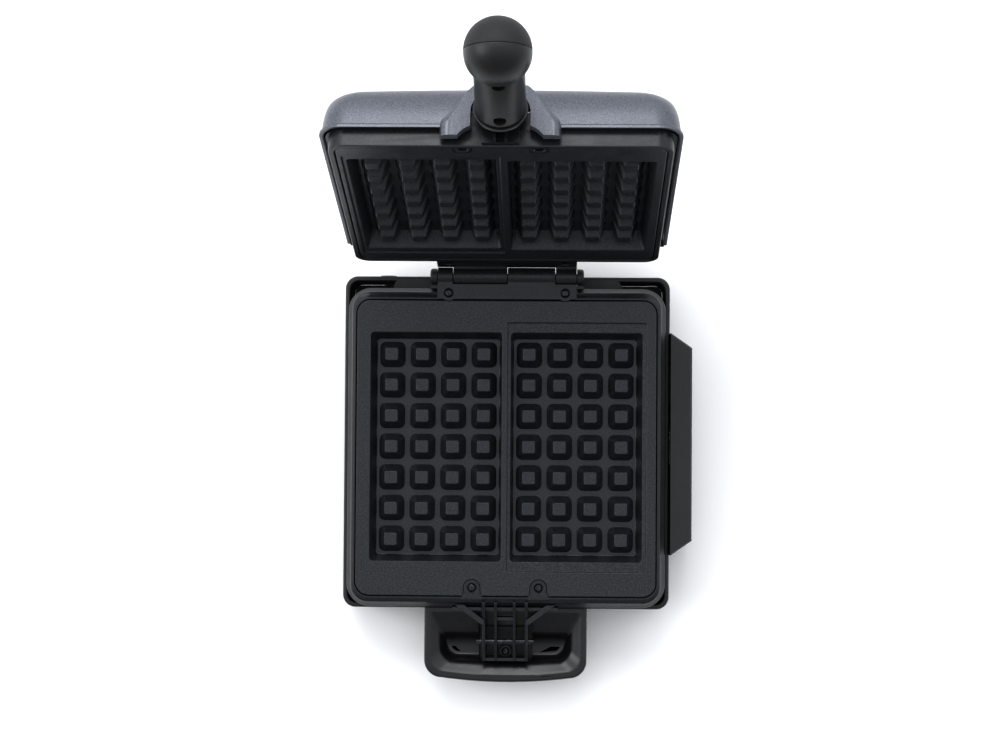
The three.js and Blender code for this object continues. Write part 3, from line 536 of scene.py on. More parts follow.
def stud(foot, top):
    """One waffle stud: a square frustum with round corners and a softened top edge."""
    sign = 1 if top > foot else -1
    def square(h, r):
        return round_rect(-h, h, -h, h, r, steps=4)
    slope = (STUD_FOOT - STUD_TOP) / abs(top - foot)
    levels = [(foot, square(STUD_FOOT + 0.5, 5.2)),
              (foot + sign * 0.7, square(STUD_FOOT - 0.5 * slope, 4.7)),
              (top - sign * 1.2, square(STUD_TOP + 1.2 * slope, 1.9)),
              (top - sign * 0.55, square(STUD_TOP + 0.05, 1.5)),
              (top - sign * 0.15, square(STUD_TOP - 0.2, 1.3)), (top, square(STUD_TOP - 0.6, 1.0))]
    return loft(ordered(levels, sign < 0))


def stud_field(side, foot, top):
    shape = stud(foot, top)
    host = new_object("places", [(0, 0, 0)], [])
    values = {"Shape": shape, "Columns": COLUMNS, "Rows": ROWS, "Width": CELL_X * (COLUMNS - 1),
              "Length": CELL_Y * (ROWS - 1), "Finish": LOOKS["non_stick"]}
    run_tree(host, GRID_TREE, values)
    drop(shape)
    host.data.transform(Matrix.Translation((side * (FIRST_COLUMN + CELL_X * (COLUMNS - 1) / 2), 0, 0)))
    return host


def cavity(side, floor, mouth):
    """The hollow of one waffle, with a filleted floor and a softened mouth."""
    sign = 1 if mouth > floor else -1
    deep = abs(mouth - floor)

    def at(t, d=0.0, r=3.0):
        rib = CAVITY_IN + RIB_DRAFT * t + d
        out = CAVITY_OUT - CAVITY_DRAFT * t - d
        end = CAVITY_END - CAVITY_DRAFT * t - d
        x = sorted((side * rib, side * out))
        return round_rect(x[0], x[1], -end, end, r, steps=6)
    levels = [(floor, at(1, 0.9, 2.2)), (floor + sign * 0.3, at(0.97, 0.3, 2.6)),
              (floor + sign * 1.0, at(0.92)),
              (mouth - sign * 1.0, at(1.0 / deep, 0, 2.6)), (mouth - sign * 0.3, at(0, -0.15, 2.7)),
              (mouth, at(0, -0.6, 3.1)), (mouth + sign * 2, at(0, -0.6, 3.1))]
    return loft(ordered(levels, sign < 0))


def screw_notches(low, high):
    reach = BOSS_R + SEAM_GAP
    tools = []
    for side in (-1, 1):
        x, y = side * FRONT_SCREW[0], FRONT_SCREW[1]
        flare = [(x - reach - 3, y - 12), (x + reach + 3, y - 12), (x + reach, y - 3), (x + reach, y),
                 (x - reach, y), (x - reach, y - 3)]
        tools.append(slab(flare, low, high))
        tools.append(rod("Z", (x, y), reach, low, high, 40))
        tools.append(rod("Z", (side * REAR_SCREW[0], REAR_SCREW[1]), reach, low, high, 40))
    return tools


def plate(name, seam, face, floor, side_of_step, lid):
    sign = 1 if face > floor else -1
    back = floor - sign * PLATE_SKIN
    soft = [(back, grown(seam, -SEAM_GAP)), (face - sign * 0.8, grown(seam, -SEAM_GAP)),
            (face - sign * 0.25, grown(seam, -SEAM_GAP - 0.2)), (face, grown(seam, -SEAM_GAP - 0.8))]
    obj = loft(ordered(soft, sign < 0))
    cut(obj, *screw_notches(min(face, back) - 1, max(face, back) + 1))
    inner = face - sign * 3
    hollow = slab(grown(seam, -4), min(inner, back - sign), max(inner, back - sign))
    blocks = block(-CAVITY_OUT - 2.6, CAVITY_OUT + 2.6, -CAVITY_END - 2.6, CAVITY_END + 2.6, 0, 200)
    cut(obj, cut(hollow, blocks))
    x = sorted((side_of_step * 1, side_of_step * STEP_OUT))
    def border(d):
        return round_rect(x[0] - d, x[1] + d, -STEP_END - d, STEP_END + d, 1.6 + d, steps=5)
    step = [(face - sign * STEP_DEPTH, border(-0.7)), (face - sign * (STEP_DEPTH - 0.15), border(-0.35)),
            (face - sign * (STEP_DEPTH - 0.5), border(-0.05)), (face - sign * 0.45, border(0.1)),
            (face - sign * 0.12, border(0.4)), (face, border(0.85)), (face + sign, border(0.85))]
    cut(obj, loft(ordered(step, sign < 0)))
    tips = LAND if not lid else UPPER_TIPS
    for side in (-1, 1):
        mouth = face if side != side_of_step else face - sign * STEP_DEPTH
        cut(obj, cavity(side, floor, mouth))
        join(obj, stud_field(side, floor - sign * 0.5, tips))
    finish_piece(name, obj, (name,), lid=lid, smooth=40)


# ------------------------------------------------------------------ base
def base_tray():
    wall = TRAY_WALL
    obj = loft([(6, grown(TRAY, -1.2)), (6.5, grown(TRAY, -0.4)), (7.4, grown(TRAY, 0)),
                (48.2, grown(TRAY, 0)),
                (49.3, grown(TRAY, -0.35)), (49.85, grown(TRAY, -1.0)), (50, grown(TRAY, -1.9))])
    inner = dict(TRAY, x=TRAY["x"] - wall, front=TRAY["front"] + wall, rear=TRAY["rear"] - wall, r=7)
    hollow = loft([(0, grown(inner, 0)), (47, grown(inner, 0)), (49.4, grown(inner, 0.25)),
                   (50, grown(inner, 0.9)),
                   (52, grown(inner, 0.9))])
    for side in (-1, 1):
        x = sorted((side * 57, side * 92))
        deck = round_rect(x[0], x[1], 119, 136, 8, 8)
        cut(hollow, slab(deck, 34, 60))
        if side < 0:
            cut(hollow, block(-84, -57, 119, 136, 34, 60))
        else:
            cut(hollow, block(57, 84, 119, 136, 34, 60))
    cut(obj, hollow)
    cut(obj, rod("Y", (-98, 22), 5.6, 130, 140), rod("X", (24, 26), 6, 126, 132, 24))
    finish_piece("base_tray", obj, ("base_tray",), smooth=40)


def lower_frame():
    lip = dict(x=121.6, front=-120.6, rear=119, r=13)
    obj = loft([(40.4, grown(SKIRT, -0.6)), (41, grown(SKIRT, 0)), (50.4, grown(SKIRT, 0)),
                (50.8, grown(RING, -0.9)),
                (51.2, grown(RING, -0.3)), (52, grown(RING, 0)), (61.6, grown(RING, 0)),
                (62.7, grown(RING, -0.35)),
                (63.4, grown(RING, -1.1)), (66.6, grown(RING, -3.2)), (67.4, grown(RING, -3.5)),
                (68.4, grown(RING, -3.8)), (69.3, grown(lip, 1.2)), (70.1, grown(lip, 0.3)),
                (70.6, grown(lip, -0.4))])
    join(obj, block(-STRIP_X, STRIP_X, 112, STRIP_REAR, 58, LAND, 1.5))
    for x0, x1 in BASE_KNUCKLES:
        join(obj, rod("X", (HINGE_Y, HINGE_Z), BARREL_R, x0, x1, 48, 0.5),
             block(x0, x1, 120, HINGE_Y, 58.4, LAND))
    for side in (-1, 1):
        web = [(side * x, y) for x, y in ((55, 122), (68, 122), (57.5, 132), (55, 132))]
        join(obj, slab(web if side > 0 else web[::-1], 52, 62))
    opening = loft([(55.5, grown(SEAM, 0)), (70.0, grown(SEAM, 0)), (70.4, grown(SEAM, 0.15)),
                    (71.2, grown(SEAM, 0.6))])
    cut(obj, opening, slab(grown(SEAM, 0), 70.3, 90), slab(grown(SEAM, -12), 30, 60),
        slab(grown(SEAM, -2), 30, 51))
    for side in (-1, 1):
        x, y = side * FRONT_SCREW[0], FRONT_SCREW[1]
        foot = [(x - BOSS_R - 2.6, y - 9), (x + BOSS_R + 2.6, y - 9), (x + BOSS_R, y - 3), (x + BOSS_R, y),
                (x - BOSS_R, y), (x - BOSS_R, y - 3)]
        join(obj, slab(foot, 53, 70.6), rod("Z", (x, y), BOSS_R, 53, 70.6, 40),
             rod("Z", (side * REAR_SCREW[0], REAR_SCREW[1]), BOSS_R, 53, LAND, 40))
        for cx, cy, top in ((x, y, 70.6), (side * REAR_SCREW[0], REAR_SCREW[1], 71.0)):
            cut(obj, turned("Z", (cx, cy), ((top - 3.6, HEAD_R + 0.4), (top - 0.5, HEAD_R + 0.4),
                                            (top, HEAD_R + 0.9), (top + 2, HEAD_R + 0.9)), 36))
    for x0, x1 in ((-43.4, 0.6), (38.4, STRIP_X + 1)):
        cut(obj, rod("X", (HINGE_Y, HINGE_Z), BARREL_CLEAR, x0, x1, 48))
    cut(obj, rod("X", (HINGE_Y, HINGE_Z), PIN_R + 0.1, -70, 70, 32))
    finish_piece("lower_frame", obj, ("lower_frame",), edge=0.35, smooth=40)


def box_outline(d, x0):
    return [(x0, -86 + d), (BOX_OUT - d, -74 + d / 2), (BOX_OUT - d, 80.2 - d / 2), (x0, 92.2 - d)]


def control_box():
    obj = loft([(BOX_BOTTOM, box_outline(1.5, BOX_IN)), (BOX_BOTTOM + 3, box_outline(0, BOX_IN)),
                (BOX_TOP - 2, box_outline(0, BOX_IN)), (BOX_TOP, box_outline(1.5, BOX_IN))])
    cut(obj, slab(box_outline(BOX_WALL, BOX_IN - 1), BOX_BOTTOM + BOX_WALL, TRAY_TOP - 1),
        slab(box_outline(BOX_WALL, BOX_IN + BOX_WALL), TRAY_TOP - 2, BOX_TOP - BOX_WALL),
        rod("X", (DIAL_Y, DIAL_Z), DIAL_R + 0.4, BOX_OUT - 8, BOX_OUT + 1, 64),
        *(rod("X", (y, DIAL_Z), 4.6, BOX_OUT - 8, BOX_OUT + 1, 32) for y in LENS_Y))
    finish_piece("control_box", obj, ("control_box",), edge=0.8)


def temperature_dial():
    """A flush dial: a dished disc with a finger bar and a pointer groove."""
    face = BOX_OUT - 0.2
    obj = rod("X", (DIAL_Y, DIAL_Z), DIAL_R, face - DIAL_DEPTH, face, 72, 0.5)
    dish = turned("X", (DIAL_Y, DIAL_Z), ((face - 3.4, DIAL_R - 5), (face - 2.6, DIAL_R - 3.6),
                                          (face, DIAL_R - 2.6),
                                          (face + 2, DIAL_R - 2.6)), 64)
    cut(dish, block(face - 6, face + 4, DIAL_Y - 3, DIAL_Y + 3, DIAL_Z - 19, DIAL_Z + 19))
    cut(obj, dish, block(face - 0.7, face + 2, DIAL_Y - 0.6, DIAL_Y + 0.6, DIAL_Z + 4, DIAL_Z + 15))
    finish_piece("temperature_dial", obj, ("temperature_dial",), edge=0.4)


def guard_outline(inset, steps=12):
    x, corner, r = GUARD["x"] - inset, GUARD["corner"] + inset, max(GUARD["r"] - inset, 2)
    points = [(-x, GUARD["back"])]
    for i in range(steps + 1):
        angle = (1 + 0.5 * i / steps) * math.pi
        points.append((-x + r + r * math.cos(angle), corner + r + r * math.sin(angle)))
    for i in range(1, 24):
        t = i / 12 - 1
        points.append((t * (x - r), corner - (GUARD["corner"] - GUARD["tip"]) * (1 - t * t)))
    for i in range(steps + 1):
        angle = (1.5 + 0.5 * i / steps) * math.pi
        points.append((x - r + r * math.cos(angle), corner + r + r * math.sin(angle)))
    return points + [(x, GUARD["back"])]


def well_outline(t, d=0.0):
    """Outline of the scoop at depth t, 0 at the rim and 1 on the floor; the front follows the rim's bow."""
    x = 60.4 - 10.0 * t + d
    front = -180.9 + 9.5 * t - d
    back = -133.5 - 19.0 * t + d
    bow = 3.2 * (1 - t) + 1.2 * t
    r = 12 - 2 * t
    points = []
    for i in range(9):
        angle = (1 + 0.5 * i / 8) * math.pi
        points.append((-x + r + r * math.cos(angle), front + r + r * math.sin(angle)))
    for i in range(1, 16):
        s = i / 8 - 1
        points.append((s * (x - r), front - bow * (1 - s * s)))
    for i in range(9):
        angle = (1.5 + 0.5 * i / 8) * math.pi
        points.append((x - r + r * math.cos(angle), front + r + r * math.sin(angle)))
    for i in range(5):
        angle = 0.5 * math.pi * i / 4
        points.append((x - 3 + 3 * math.cos(angle), back - 3 + 3 * math.sin(angle)))
    for i in range(5):
        angle = 0.5 * math.pi * (1 + i / 4)
        points.append((-x + 3 + 3 * math.cos(angle), back - 3 + 3 * math.sin(angle)))
    return points


# scoop wall: (depth below the rim, how far in towards the floor), a gentle upper slope, then a steeper drop
SCOOP = ((15.2, 1.5), (14.9, 1.36), (14.2, 1.24), (12.9, 1.14), (11.0, 1.06), (8.8, 0.99), (6.8, 0.92),
         (5.3, 0.84),
         (4.3, 0.74), (3.5, 0.62), (2.8, 0.49), (2.1, 0.36), (1.4, 0.24), (0.8, 0.13), (0.35, 0.05))


def front_guard():
    top = GUARD["top"]
    obj = loft([(GUARD["bottom"], guard_outline(7)), (GUARD["bottom"] + 4, guard_outline(4.2)),
                (GUARD["bottom"] + 10, guard_outline(2.5)), (38, guard_outline(0)),
                (top - 2.4, guard_outline(0)),
                (top - 1.1, guard_outline(0.3)), (top - 0.3, guard_outline(1.0)), (top, guard_outline(2.0))])
    under = slab(guard_outline(9.5), 0, 26.5)
    cut(under, block(-SLOT_X - 2.6, SLOT_X + 2.6, SLOT_END - 2.6, 0, -1, 60))
    cut(obj, under)
    levels = [(top - deep, well_outline(t)) for deep, t in SCOOP]
    levels += [(top - 0.1, well_outline(0, 0.2)), (top + 0.2, well_outline(0, 0.8)),
               (top + 3, well_outline(0, 0.8))]
    cut(obj, loft(levels), block(-SLOT_X, SLOT_X, SLOT_END, GUARD["back"] - 3, 16, 60, 0.6))
    # a raised lip along the front of the scoop
    lip = [(-30, -184.6), (30, -184.6), (30, -183.6), (-30, -183.6)]
    join(obj, loft([(top - 1.5, lip), (top + 0.35, lip)]))
    finish_piece("front_guard", obj, ("front_guard",), edge=0.3, smooth=40)


def prism_x(points, x0, x1):
    """A flat side outline of (y, z) points, given a thickness along X."""
    verts = [(x0, y, z) for y, z in points] + [(x1, y, z) for y, z in points]
    n = len(points)
    faces = [list(range(n - 1, -1, -1)), list(range(n, 2 * n))]
    faces += [[i, (i + 1) % n, n + (i + 1) % n, n + i] for i in range(n)]
    obj = new_object("shape", verts, faces)
    return face_outward(obj)


def face_outward(obj):
    bm = bmesh.new()
    bm.from_mesh(obj.data)
    bmesh.ops.recalc_face_normals(bm, faces=bm.faces)
    bm.to_mesh(obj.data)
    bm.free()
    return obj


def front_bracket():
    """Ribbed bracket in front of the ring; its ribs and gussets run up over the ring's sloping shoulder."""
    back, reach = RING["front"] - 0.4, -122
    side = [(reach, 50.8), (reach, 70), (-127, 70), (-140, 61.5), (-160, 59.5), (-172, 50), (-172, 22),
            (-146, 22),
            (-134, 42), (-134, 50.8)]
    ribs = [prism_x(side, x - t / 2, x + t / 2) for x, t in ((-17, 2.6), (17, 2.6), (-7.4, 2.2), (7.4, 2.2))]
    obj = block(-42, 42, back - 2.6, back, 51, 63.4)
    join(obj, *ribs, block(-8, 8, -138.4, -136, 48, 61), block(-17, 17, -172, -169.6, 22, 49),
         block(-17, 17, -171, -146.5, 22, 24.6), rod("Z", (0, -165.5), 4.6, 16.4, 34))
    for s in (-1, 1):
        gusset = [(s * x, y) for x, y in ((42, reach), (38, reach), (16.8, -138), (16.8, -141.4),
                                          (19, -141.4),
                                          (42, reach - 2.6))]
        join(obj, face_outward(slab(gusset, 51.5, 65.5)))
    cut(obj, loft([(40, grown(RING, 0.4)), (62.2, grown(RING, 0.4)), (64, grown(RING, -0.8)),
                   (71.2, grown(RING, -5))]))
    cut(obj, rod("X", (-155.6, 56), 2.3, -30, 30), rod("Z", (0, -165.5), 1.8, 0, 40))
    finish_piece("front_bracket", obj, ("front_bracket",), edge=0.4)


def hinge_caps():
    for side, name in ((-1, "hinge_cap_left"), (1, "hinge_cap_right")):
        near, far = side * (STRIP_X + 0.4), side * (STRIP_X + 5.8)
        profile = [(near, 6.4), (far - side * 2.0, 6.4), (far - side * 0.9, 6.0), (far - side * 0.25, 5.1),
                   (far, 3.6)]
        obj = turned("X", (HINGE_Y, HINGE_Z), sorted(profile), 40)
        finish_piece(name, obj, (name,), smooth=50)


def pins():
    obj = rod("X", (HINGE_Y, HINGE_Z), PIN_R, -57, 57, 32, 0.4)
    finish_piece("hinge_pin", obj, ("hinge_pin",))
    obj = rod("X", (-155.6, 56), 2.2, -23, 23, 32, 0.5)
    finish_piece("bracket_pin", obj, ("bracket_pin",))


# ------------------------------------------------------------------ lid, drawn closed
def upper_frame():
    top = 96.6
    obj = loft([(RIM, grown(LID_RING, -0.9)), (RIM + 0.25, grown(LID_RING, -0.3)),
                (RIM + 0.9, grown(LID_RING, 0)),
                (top, grown(LID_RING, 0))])
    shelf = dict(x=122, front=-122, rear=108, r=18)
    join(obj, slab(grown(shelf, 0), FLANGE + 0.4, 86.2), block(-STRIP_X, STRIP_X, 114, 131, UPPER_LAND, 80),
         block(-STRIP_X, STRIP_X, 130, 136, 72, 80))
    for x0, x1 in LID_KNUCKLES:
        join(obj, rod("X", (HINGE_Y, HINGE_Z), BARREL_R, x0, x1, 48, 0.5), block(x0, x1, 130.3, 141, 66, 80))
    cut(obj, loft([(60, grown(LID_SEAM, 0.6)), (RIM + 0.3, grown(LID_SEAM, 0.5)),
                   (RIM + 0.8, grown(LID_SEAM, 0)),
                   (110, grown(LID_SEAM, 0))]))
    for side in (-1, 1):
        x, y = side * FRONT_SCREW[0], FRONT_SCREW[1]
        join(obj, block(x - BOSS_R, x + BOSS_R, -117, y, UPPER_LAND, 92),
             rod("Z", (x, y), BOSS_R, UPPER_LAND, 92, 40))
        for cx, cy, low in ((x, y, UPPER_LAND), (side * REAR_SCREW[0], REAR_SCREW[1], UPPER_LAND)):
            cut(obj, turned("Z", (cx, cy), ((low - 2, HEAD_R + 0.9), (low, HEAD_R + 0.9),
                                            (low + 0.5, HEAD_R + 0.4),
                                            (low + 3.4, HEAD_R + 0.4)), 36))
    cut(obj, block(-20, 20, -130, LID_RING["front"], 70, 100))
    for x0, x1 in ((-STRIP_X - 1, -42.8), (0, 39)):
        cut(obj, rod("X", (HINGE_Y, HINGE_Z), BARREL_CLEAR, x0, x1, 48))
    cut(obj, rod("X", (HINGE_Y, HINGE_Z), PIN_R + 0.1, -70, 70, 32))
    finish_piece("upper_frame", obj, ("upper_frame",), edge=0.35, lid=True, smooth=40)


def fine_levels():
    """The cover's levels with a smooth shoulder between the given ones."""
    def blend(a, b, c, d, t):
        return 0.5 * (2 * b + (c - a) * t + (2 * a - 5 * b + 4 * c - d) * t * t
                      + (3 * b - a - 3 * c + d) * t ** 3)
    fine = [COVER_LEVELS[0], COVER_LEVELS[1]]
    for i in range(2, len(COVER_LEVELS) - 1):
        near = [COVER_LEVELS[max(2, i - 1)], COVER_LEVELS[i], COVER_LEVELS[i + 1],
                COVER_LEVELS[min(len(COVER_LEVELS) - 1, i + 2)]]
        for step in range(5):
            fine.append(tuple(blend(*(p[k] for p in near), step / 5) for k in range(3)))
    return fine + [COVER_LEVELS[-1]]


def cover_volume(inset, drop_z, rear):
    levels = []
    for i, (x, front, z) in enumerate(fine_levels()):
        height = z - drop_z if i else z - (1 if inset else 0)
        levels.append((height, round_rect(-x + inset, x - inset, front + inset, rear, 18 - inset, 0.5,
                                          steps=14)))
    return loft(levels)


CROWN, CROWN_FOOT, CROWN_TOP = 3.4, 98, 118
LEAN = 0.28                             # how far the hood's front leans back for each mm of height


def crowned(obj):
    """Domes the lid's top gently from side to side."""
    bm = bmesh.new()
    bm.from_mesh(obj.data)
    for x in range(-120, 121, 8):
        bmesh.ops.bisect_plane(bm, geom=bm.verts[:] + bm.edges[:] + bm.faces[:], dist=0.001,
                               plane_co=(x, 0, 0), plane_no=(1, 0, 0))
    for vert in bm.verts:
        rise = max(vert.co.z - CROWN_FOOT, 0) / (CROWN_TOP - CROWN_FOOT)
        vert.co.z += CROWN * rise * rise * (1 - (vert.co.x / 126) ** 2)
    bm.to_mesh(obj.data)
    bm.free()
    return obj


def hood_ring(y, w):
    """Outline of the hood over the handle's root, w half wide at its foot."""
    def soft(z):
        marks = ((75, w), (84, w), (87, w - 0.8), (98, w * 0.5 + 11.5), (109.5, 22.9), (112.8, 19),
                 (114.8, 12),
                 (115.6, 4))
        for (z0, x0), (z1, x1) in zip(marks, marks[1:]):
            if z <= z1:
                return x0 + (x1 - x0) * (z - z0) / (z1 - z0)
        return 4
    levels = [75, 80, 84, 85.5, 87, 89, 92, 95, 98, 101, 104, 107, 109.5, 111.3, 112.8, 114, 114.8, 115.6]
    right = [(soft(z), y + LEAN * max(z - 86, 0), z) for z in levels]
    return [(-x, *rest) for x, *rest in right] + right[::-1]


def arch(y, half, middle, top, bottom, steps=36):
    points = [(-half, y, bottom)]
    for i in range(steps + 1):
        angle = math.pi * (1 - i / steps)
        points.append((half * math.cos(angle), y, middle + (top - middle) * math.sin(angle)))
    return points + [(half, y, bottom)]


def lid_cover():
    rear = 109
    obj = cover_volume(0, 0, rear)
    hood = face_outward(skin([hood_ring(-131.5, 35.5), hood_ring(-131.35, 37.2), hood_ring(-130.9, 38.6),
                              hood_ring(-130.1, 39.8), hood_ring(-129.0, 40.7), hood_ring(-127.6, 41.3),
                              hood_ring(-125.0, 41.6), hood_ring(-106, 43)]))
    cut(hood, block(-50, 50, -124.4, -100, 70, FLANGE))
    join(obj, hood)
    cut(obj, cover_volume(1.8, 2, rear + 5))
    cut(obj, face_outward(skin([arch(-140, 20.6, 94, 114.2, 82), arch(-118, 20.6, 92, 112.4, 82)])),
        face_outward(skin([arch(-140, 31, 70, 86, 60), arch(-118, 31, 70, 86, 60)])))
    finish_piece("lid_cover", crowned(rounded(obj, 0.5)), ("lid_cover",), lid=True, smooth=40)


def lid_back_panel():
    sky = [(x - 1, z - 0.6) for x, _, z in fine_levels() if z >= 98]
    right = [(119.9, FLANGE + 0.4), (124.4, FLANGE + 0.4)] + sky
    outline = [(-x, z) for x, z in reversed(right)] + [(-119.9, 99), (119.9, 99)] + right
    outline = outline[::-1]
    verts = [(x, 109.4, z) for x, z in outline] + [(x, 114.4, z) for x, z in outline]
    n = len(outline)
    faces = [list(range(n)), list(range(2 * n - 1, n - 1, -1))]
    faces += [[i, (i + 1) % n, n + (i + 1) % n, n + i] for i in range(n)]
    obj = face_outward(new_object("shape", verts, faces))
    finish_piece("lid_back_panel", crowned(rounded(obj, 0.8)), ("lid_back_panel",), lid=True)


def handle_point(t):
    a, b, c = HANDLE_ENDS
    s = min(t, 1)
    point = a * (1 - s) ** 2 + b * 2 * s * (1 - s) + c * s * s
    along = ((b - a) * (1 - s) + (c - b) * s).normalized()
    return point + along * max(t - 1, 0), along


def handle_ring(t, r, start, end, steps, lift=0.0, closed=False):
    centre, along = handle_point(t)
    up = Vector((0, along.z, -along.y))
    count = steps if closed else steps + 1
    ring = []
    for i in range(count):
        angle = start + (end - start) * i / steps
        p = centre + up * (r * math.sin(angle) + lift)
        ring.append((r * math.cos(angle), p.y, p.z))
    return ring


def handle_stations(start, inset):
    stations = []
    for i in range(41):
        t = start + (1 - start) * i / 40
        s = min(max((t - 0.82) / 0.14, 0), 1)
        swell = s * s * (3 - 2 * s)
        stations.append((t, NECK_R + (BALL_R - NECK_R) * swell - inset))
    ball = BALL_R - inset
    for i in range(1, 15):
        angle = i / 14.4 * math.pi / 2
        stations.append((1 + ball * math.sin(angle), ball * math.cos(angle)))
    return stations


def handle_height(y):
    t = 0.0
    while handle_point(t)[0].y > y:
        t += 0.002
    return handle_point(t)[0].z


def handle_shell(name, upper):
    start, end = (0, math.pi) if upper else (math.pi, 2 * math.pi)
    lift = 0.2 if upper else -0.2
    obj = face_outward(skin([handle_ring(t, r, start, end, 40, lift) for t, r in handle_stations(0.18, 0)]))
    core = skin([handle_ring(t, r, 0, 2 * math.pi, 48, 0, True)
                 for t, r in handle_stations(0.15, HANDLE_WALL)])
    cut(obj, face_outward(core))
    if not upper:
        for y in HANDLE_SCREWS:
            z = handle_height(y)
            join(obj, rod("Z", (0, y), 6.2, z - NECK_R + 1, z - ARM_R - 2.2))
            cut(obj, rod("Z", (0, y), 4.4, z - NECK_R - 8, z - NECK_R + 4.6, 40),
                rod("Z", (0, y), 2, z - NECK_R, z))
    finish_piece(name, obj, (name,), edge=0.35, lid=True, smooth=50, look=soft_touch() if upper else None)


def handle_collar():
    def sleeve(r, stations):
        rings = [handle_ring(t, r + d, 0, 2 * math.pi, 64, 0, True) for t, d in stations]
        return face_outward(skin(rings))
    obj = sleeve(19, ((0.145, -0.7), (0.149, 0), (0.166, 0), (0.17, -0.7)))
    cut(obj, sleeve(15.2, ((0.1, 0), (0.2, 0))))
    finish_piece("handle_collar", obj, ("handle_collar",), lid=True, smooth=50)


def handle_arm():
    front = LID_RING["front"] - 0.4
    core = skin([handle_ring(0.12 + 0.8 * i / 20, ARM_R, 0, 2 * math.pi, 24, 0, True) for i in range(21)])
    obj = block(-13, 13, -131, front, 82.5, 97)
    join(obj, face_outward(core), block(-13, 13, front - 3, front, 73, 90))
    for side in (-1, 1):
        join(obj, block(side * 4 - 1, side * 4 + 1, -129, front - 1, 73, 84))
    for y in HANDLE_SCREWS:
        z = handle_height(y)
        cut(obj, rod("Z", (0, y), 2, z - 20, z + 4))
    finish_piece("handle_arm", obj, ("handle_arm",), edge=0.4, lid=True)


# ------------------------------------------------------------------ screws
def screw_shape(length, sign, head_r=HEAD_R):
    """A pan-head screw with a cross recess, its head's face at the origin and its shank along sign Z."""
    profile = [(0, head_r - 1.3), (0.25, head_r - 0.6), (0.8, head_r - 0.1), (1.3, head_r), (2.2, head_r),
               (2.25, SHANK_R), (length - 0.6, SHANK_R), (length, SHANK_R - 0.6)]
    profile = sorted((sign * h, r) for h, r in profile)
    obj = turned("Z", (0, 0), profile, 28)
    for long_x, long_y in ((1.7, 0.42), (0.42, 1.7)):
        cut(obj, block(-long_x, long_x, -long_y, long_y, min(-1, sign * 1.3), max(1, sign * 1.3)))
    return obj


def screw_set(name, nodes, places, length, sign, lid, head_r=HEAD_R):
    obj = repeat_at(screw_shape(length, sign, head_r), places, LOOKS["steel"])
    finish_piece(name, obj, nodes, lid=lid)


def screws():
    corners = [(s * x, y) for x, y in (REAR_SCREW, FRONT_SCREW) for s in (-1, 1)]
    tops = (LAND - 0.8, LAND - 0.8, LAND - 1.2, LAND - 1.2)
    screw_set("lower_plate_screws", tuple(f"lower_plate_screw_{i}" for i in range(1, 5)),
              [(x, y, z) for (x, y), z in zip(corners, tops)], 13, -1, False)
    screw_set("upper_hinge_screws", ("upper_plate_screw_1", "upper_plate_screw_2"),
              [(x, y, UPPER_LAND + 0.5) for x, y in corners[:2]], 6.2, 1, True)
    screw_set("upper_plate_screws", ("upper_plate_screw_3", "upper_plate_screw_4"),
              [(x, y, UPPER_LAND + 0.8) for x, y in corners[2:]], 13, 1, True)
    screw_set("handle_screws", ("handle_screw_1", "handle_screw_2"),
              [(0, y, handle_height(y) - NECK_R + 2.0) for y in HANDLE_SCREWS], 14, 1, True, 3.6)
    screw_set("bottom_screws", tuple(f"bottom_screw_{i}" for i in range(1, 5)),
              [(sx * 120.8, sy * 98, 6.4) for sx, sy in ((-1, -1), (1, -1), (1, 1), (-1, 1))], 41, 1, False)
    screw_set("guard_screw", ("guard_screw",), [(0, -165.5, 36.6)], 28, -1, False)


# ------------------------------------------------------------------ remaining small pieces
def lenses():
    for name, y in (("power_lens", LENS_Y[0]), ("ready_lens", LENS_Y[1])):
        x = BOX_OUT - 3.2
        obj = turned("X", (y, DIAL_Z), ((x, 4.2), (x + 2.7, 4.2), (x + 3.2, 3.9), (x + 3.6, 3.2),
                                        (x + 3.85, 2.0),
                                        (x + 3.9, 0.6)), 36)
        finish_piece(name, obj, (name,), smooth=60)


def feet():
    for i, (x, y) in enumerate(((-104, -111), (104, -111), (104, 119), (-104, 119)), 1):
        obj = turned("Z", (x, y), ((0, 7.2), (0.3, 7.9), (1.2, 9.0), (2.2, 9.4), (5.6, 9.4)), 40)
        finish_piece(f"foot_{i}", obj, (f"foot_{i}",), smooth=50)


def kept_nodes():
    """CAD nodes whose shape is right take their finish as they are."""
    for name in ("bottom_cover", "lower_heater", "upper_heater", "lower_reflector", "upper_reflector",
                 "thermal_fuse",
                 "thermostat", "dial_shaft", "indicator_board", "terminal_block", "power_lamp", "ready_lamp",
                 "cord_gland"):
        obj = frame["nodes"][name]
        obj.data.materials.clear()
        obj.data.materials.append(LOOKS[SLOT_OF[name]])


# ------------------------------------------------------------------ stage
def area_light(name, place, target, size, power):
    data = bpy.data.lights.new(name, "AREA")
    data.shape = "RECTANGLE"
    data.size, data.size_y = size
    data.energy = power
    obj = bpy.data.objects.new(name, data)
    bpy.context.scene.collection.objects.link(obj)
    obj.location = place
    obj.rotation_euler = (Vector(target) - Vector(place)).to_track_quat("-Z", "Y").to_euler()


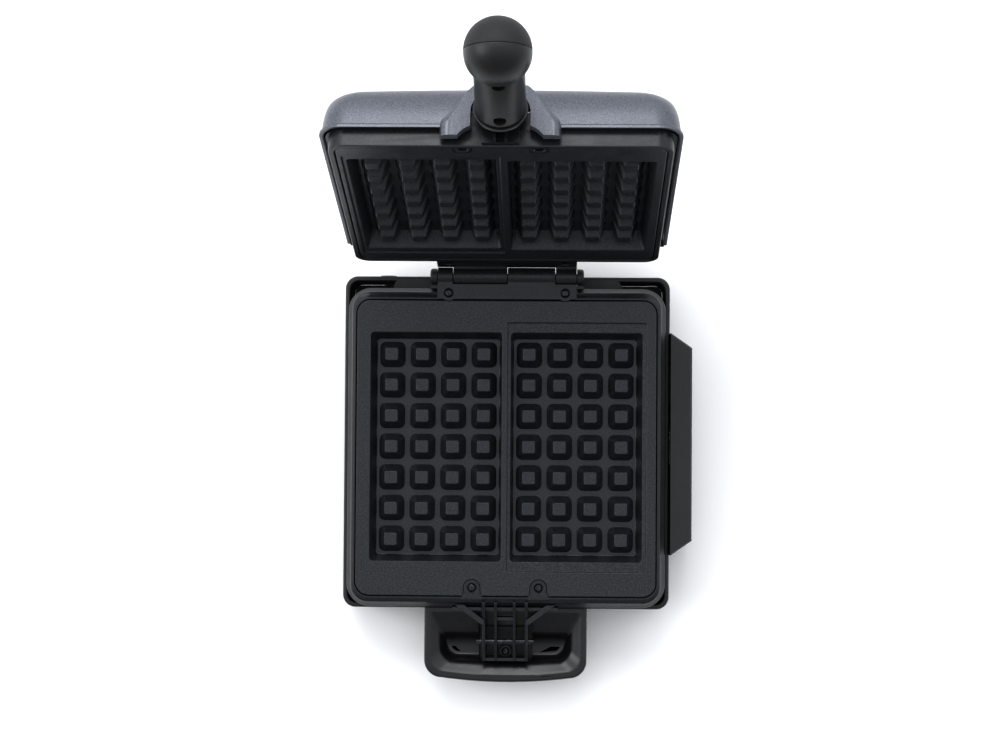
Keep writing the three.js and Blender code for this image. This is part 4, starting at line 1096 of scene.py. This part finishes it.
def studio_sky():
    """A white dome, dim in front, so flat tops shine and faces turned to the front stay dark."""
    world = bpy.data.worlds.new("studio")
    world.use_nodes = True
    tree = world.node_tree
    place = add(tree, "ShaderNodeTexCoord")
    split = add(tree, "ShaderNodeSeparateXYZ", {"Vector": place.outputs["Generated"]})
    fade = add(tree, "ShaderNodeMapRange", {"Value": split.outputs["Z"], "From Min": 0.0, "From Max": 0.7,
                                            "To Min": 1.25, "To Max": 1.55}, interpolation_type="SMOOTHSTEP")
    rear = add(tree, "ShaderNodeMapRange", {"Value": split.outputs["Y"], "From Min": -0.6, "From Max": 0.35,
                                            "To Min": 0.3, "To Max": 1.15})
    light = add(tree, "ShaderNodeMath", {0: fade.outputs["Result"], 1: rear.outputs["Result"]},
                operation="MULTIPLY")
    backdrop = tree.nodes["Background"]
    backdrop.inputs["Color"].default_value = linear("#fafcff")
    tree.links.new(light.outputs["Value"], backdrop.inputs["Strength"])
    bpy.context.scene.world = world


def stage():
    """A white table in a white-walled studio, lit by its own pale walls and two softboxes."""
    floor = new_object("floor", [(-6, -6, 0), (6, -6, 0), (6, 6, 0), (-6, 6, 0)], [(0, 1, 2, 3)])
    floor.data.materials.append(new_material("white_table", "#fbfbfb", 0.9)[0])
    studio_sky()
    bpy.context.scene.view_settings.view_transform = "Standard"
    bpy.context.scene.view_settings.gamma = 0.84
    area_light("back_softbox", (-0.3, 1.6, 2.0), (0, 0, 0.1), (1.6, 0.8), 22)
    area_light("left_softbox", (-1.7, 0.2, 1.5), (0, 0, 0.1), (0.8, 1.2), 12)


# ------------------------------------------------------------------ build
camera()
plate("lower_plate", SEAM, LAND, LAND - STUD_HEIGHT, 1, False)
plate("upper_plate", LID_SEAM, UPPER_LAND, UPPER_TIPS + STUD_HEIGHT, -1, True)
base_tray()
lower_frame()
control_box()
temperature_dial()
front_guard()
front_bracket()
hinge_caps()
pins()
upper_frame()
lid_cover()
lid_back_panel()
handle_shell("handle_upper_shell", True)
handle_shell("handle_lower_shell", False)
handle_collar()
handle_arm()
screws()
lenses()
feet()
kept_nodes()
stage()
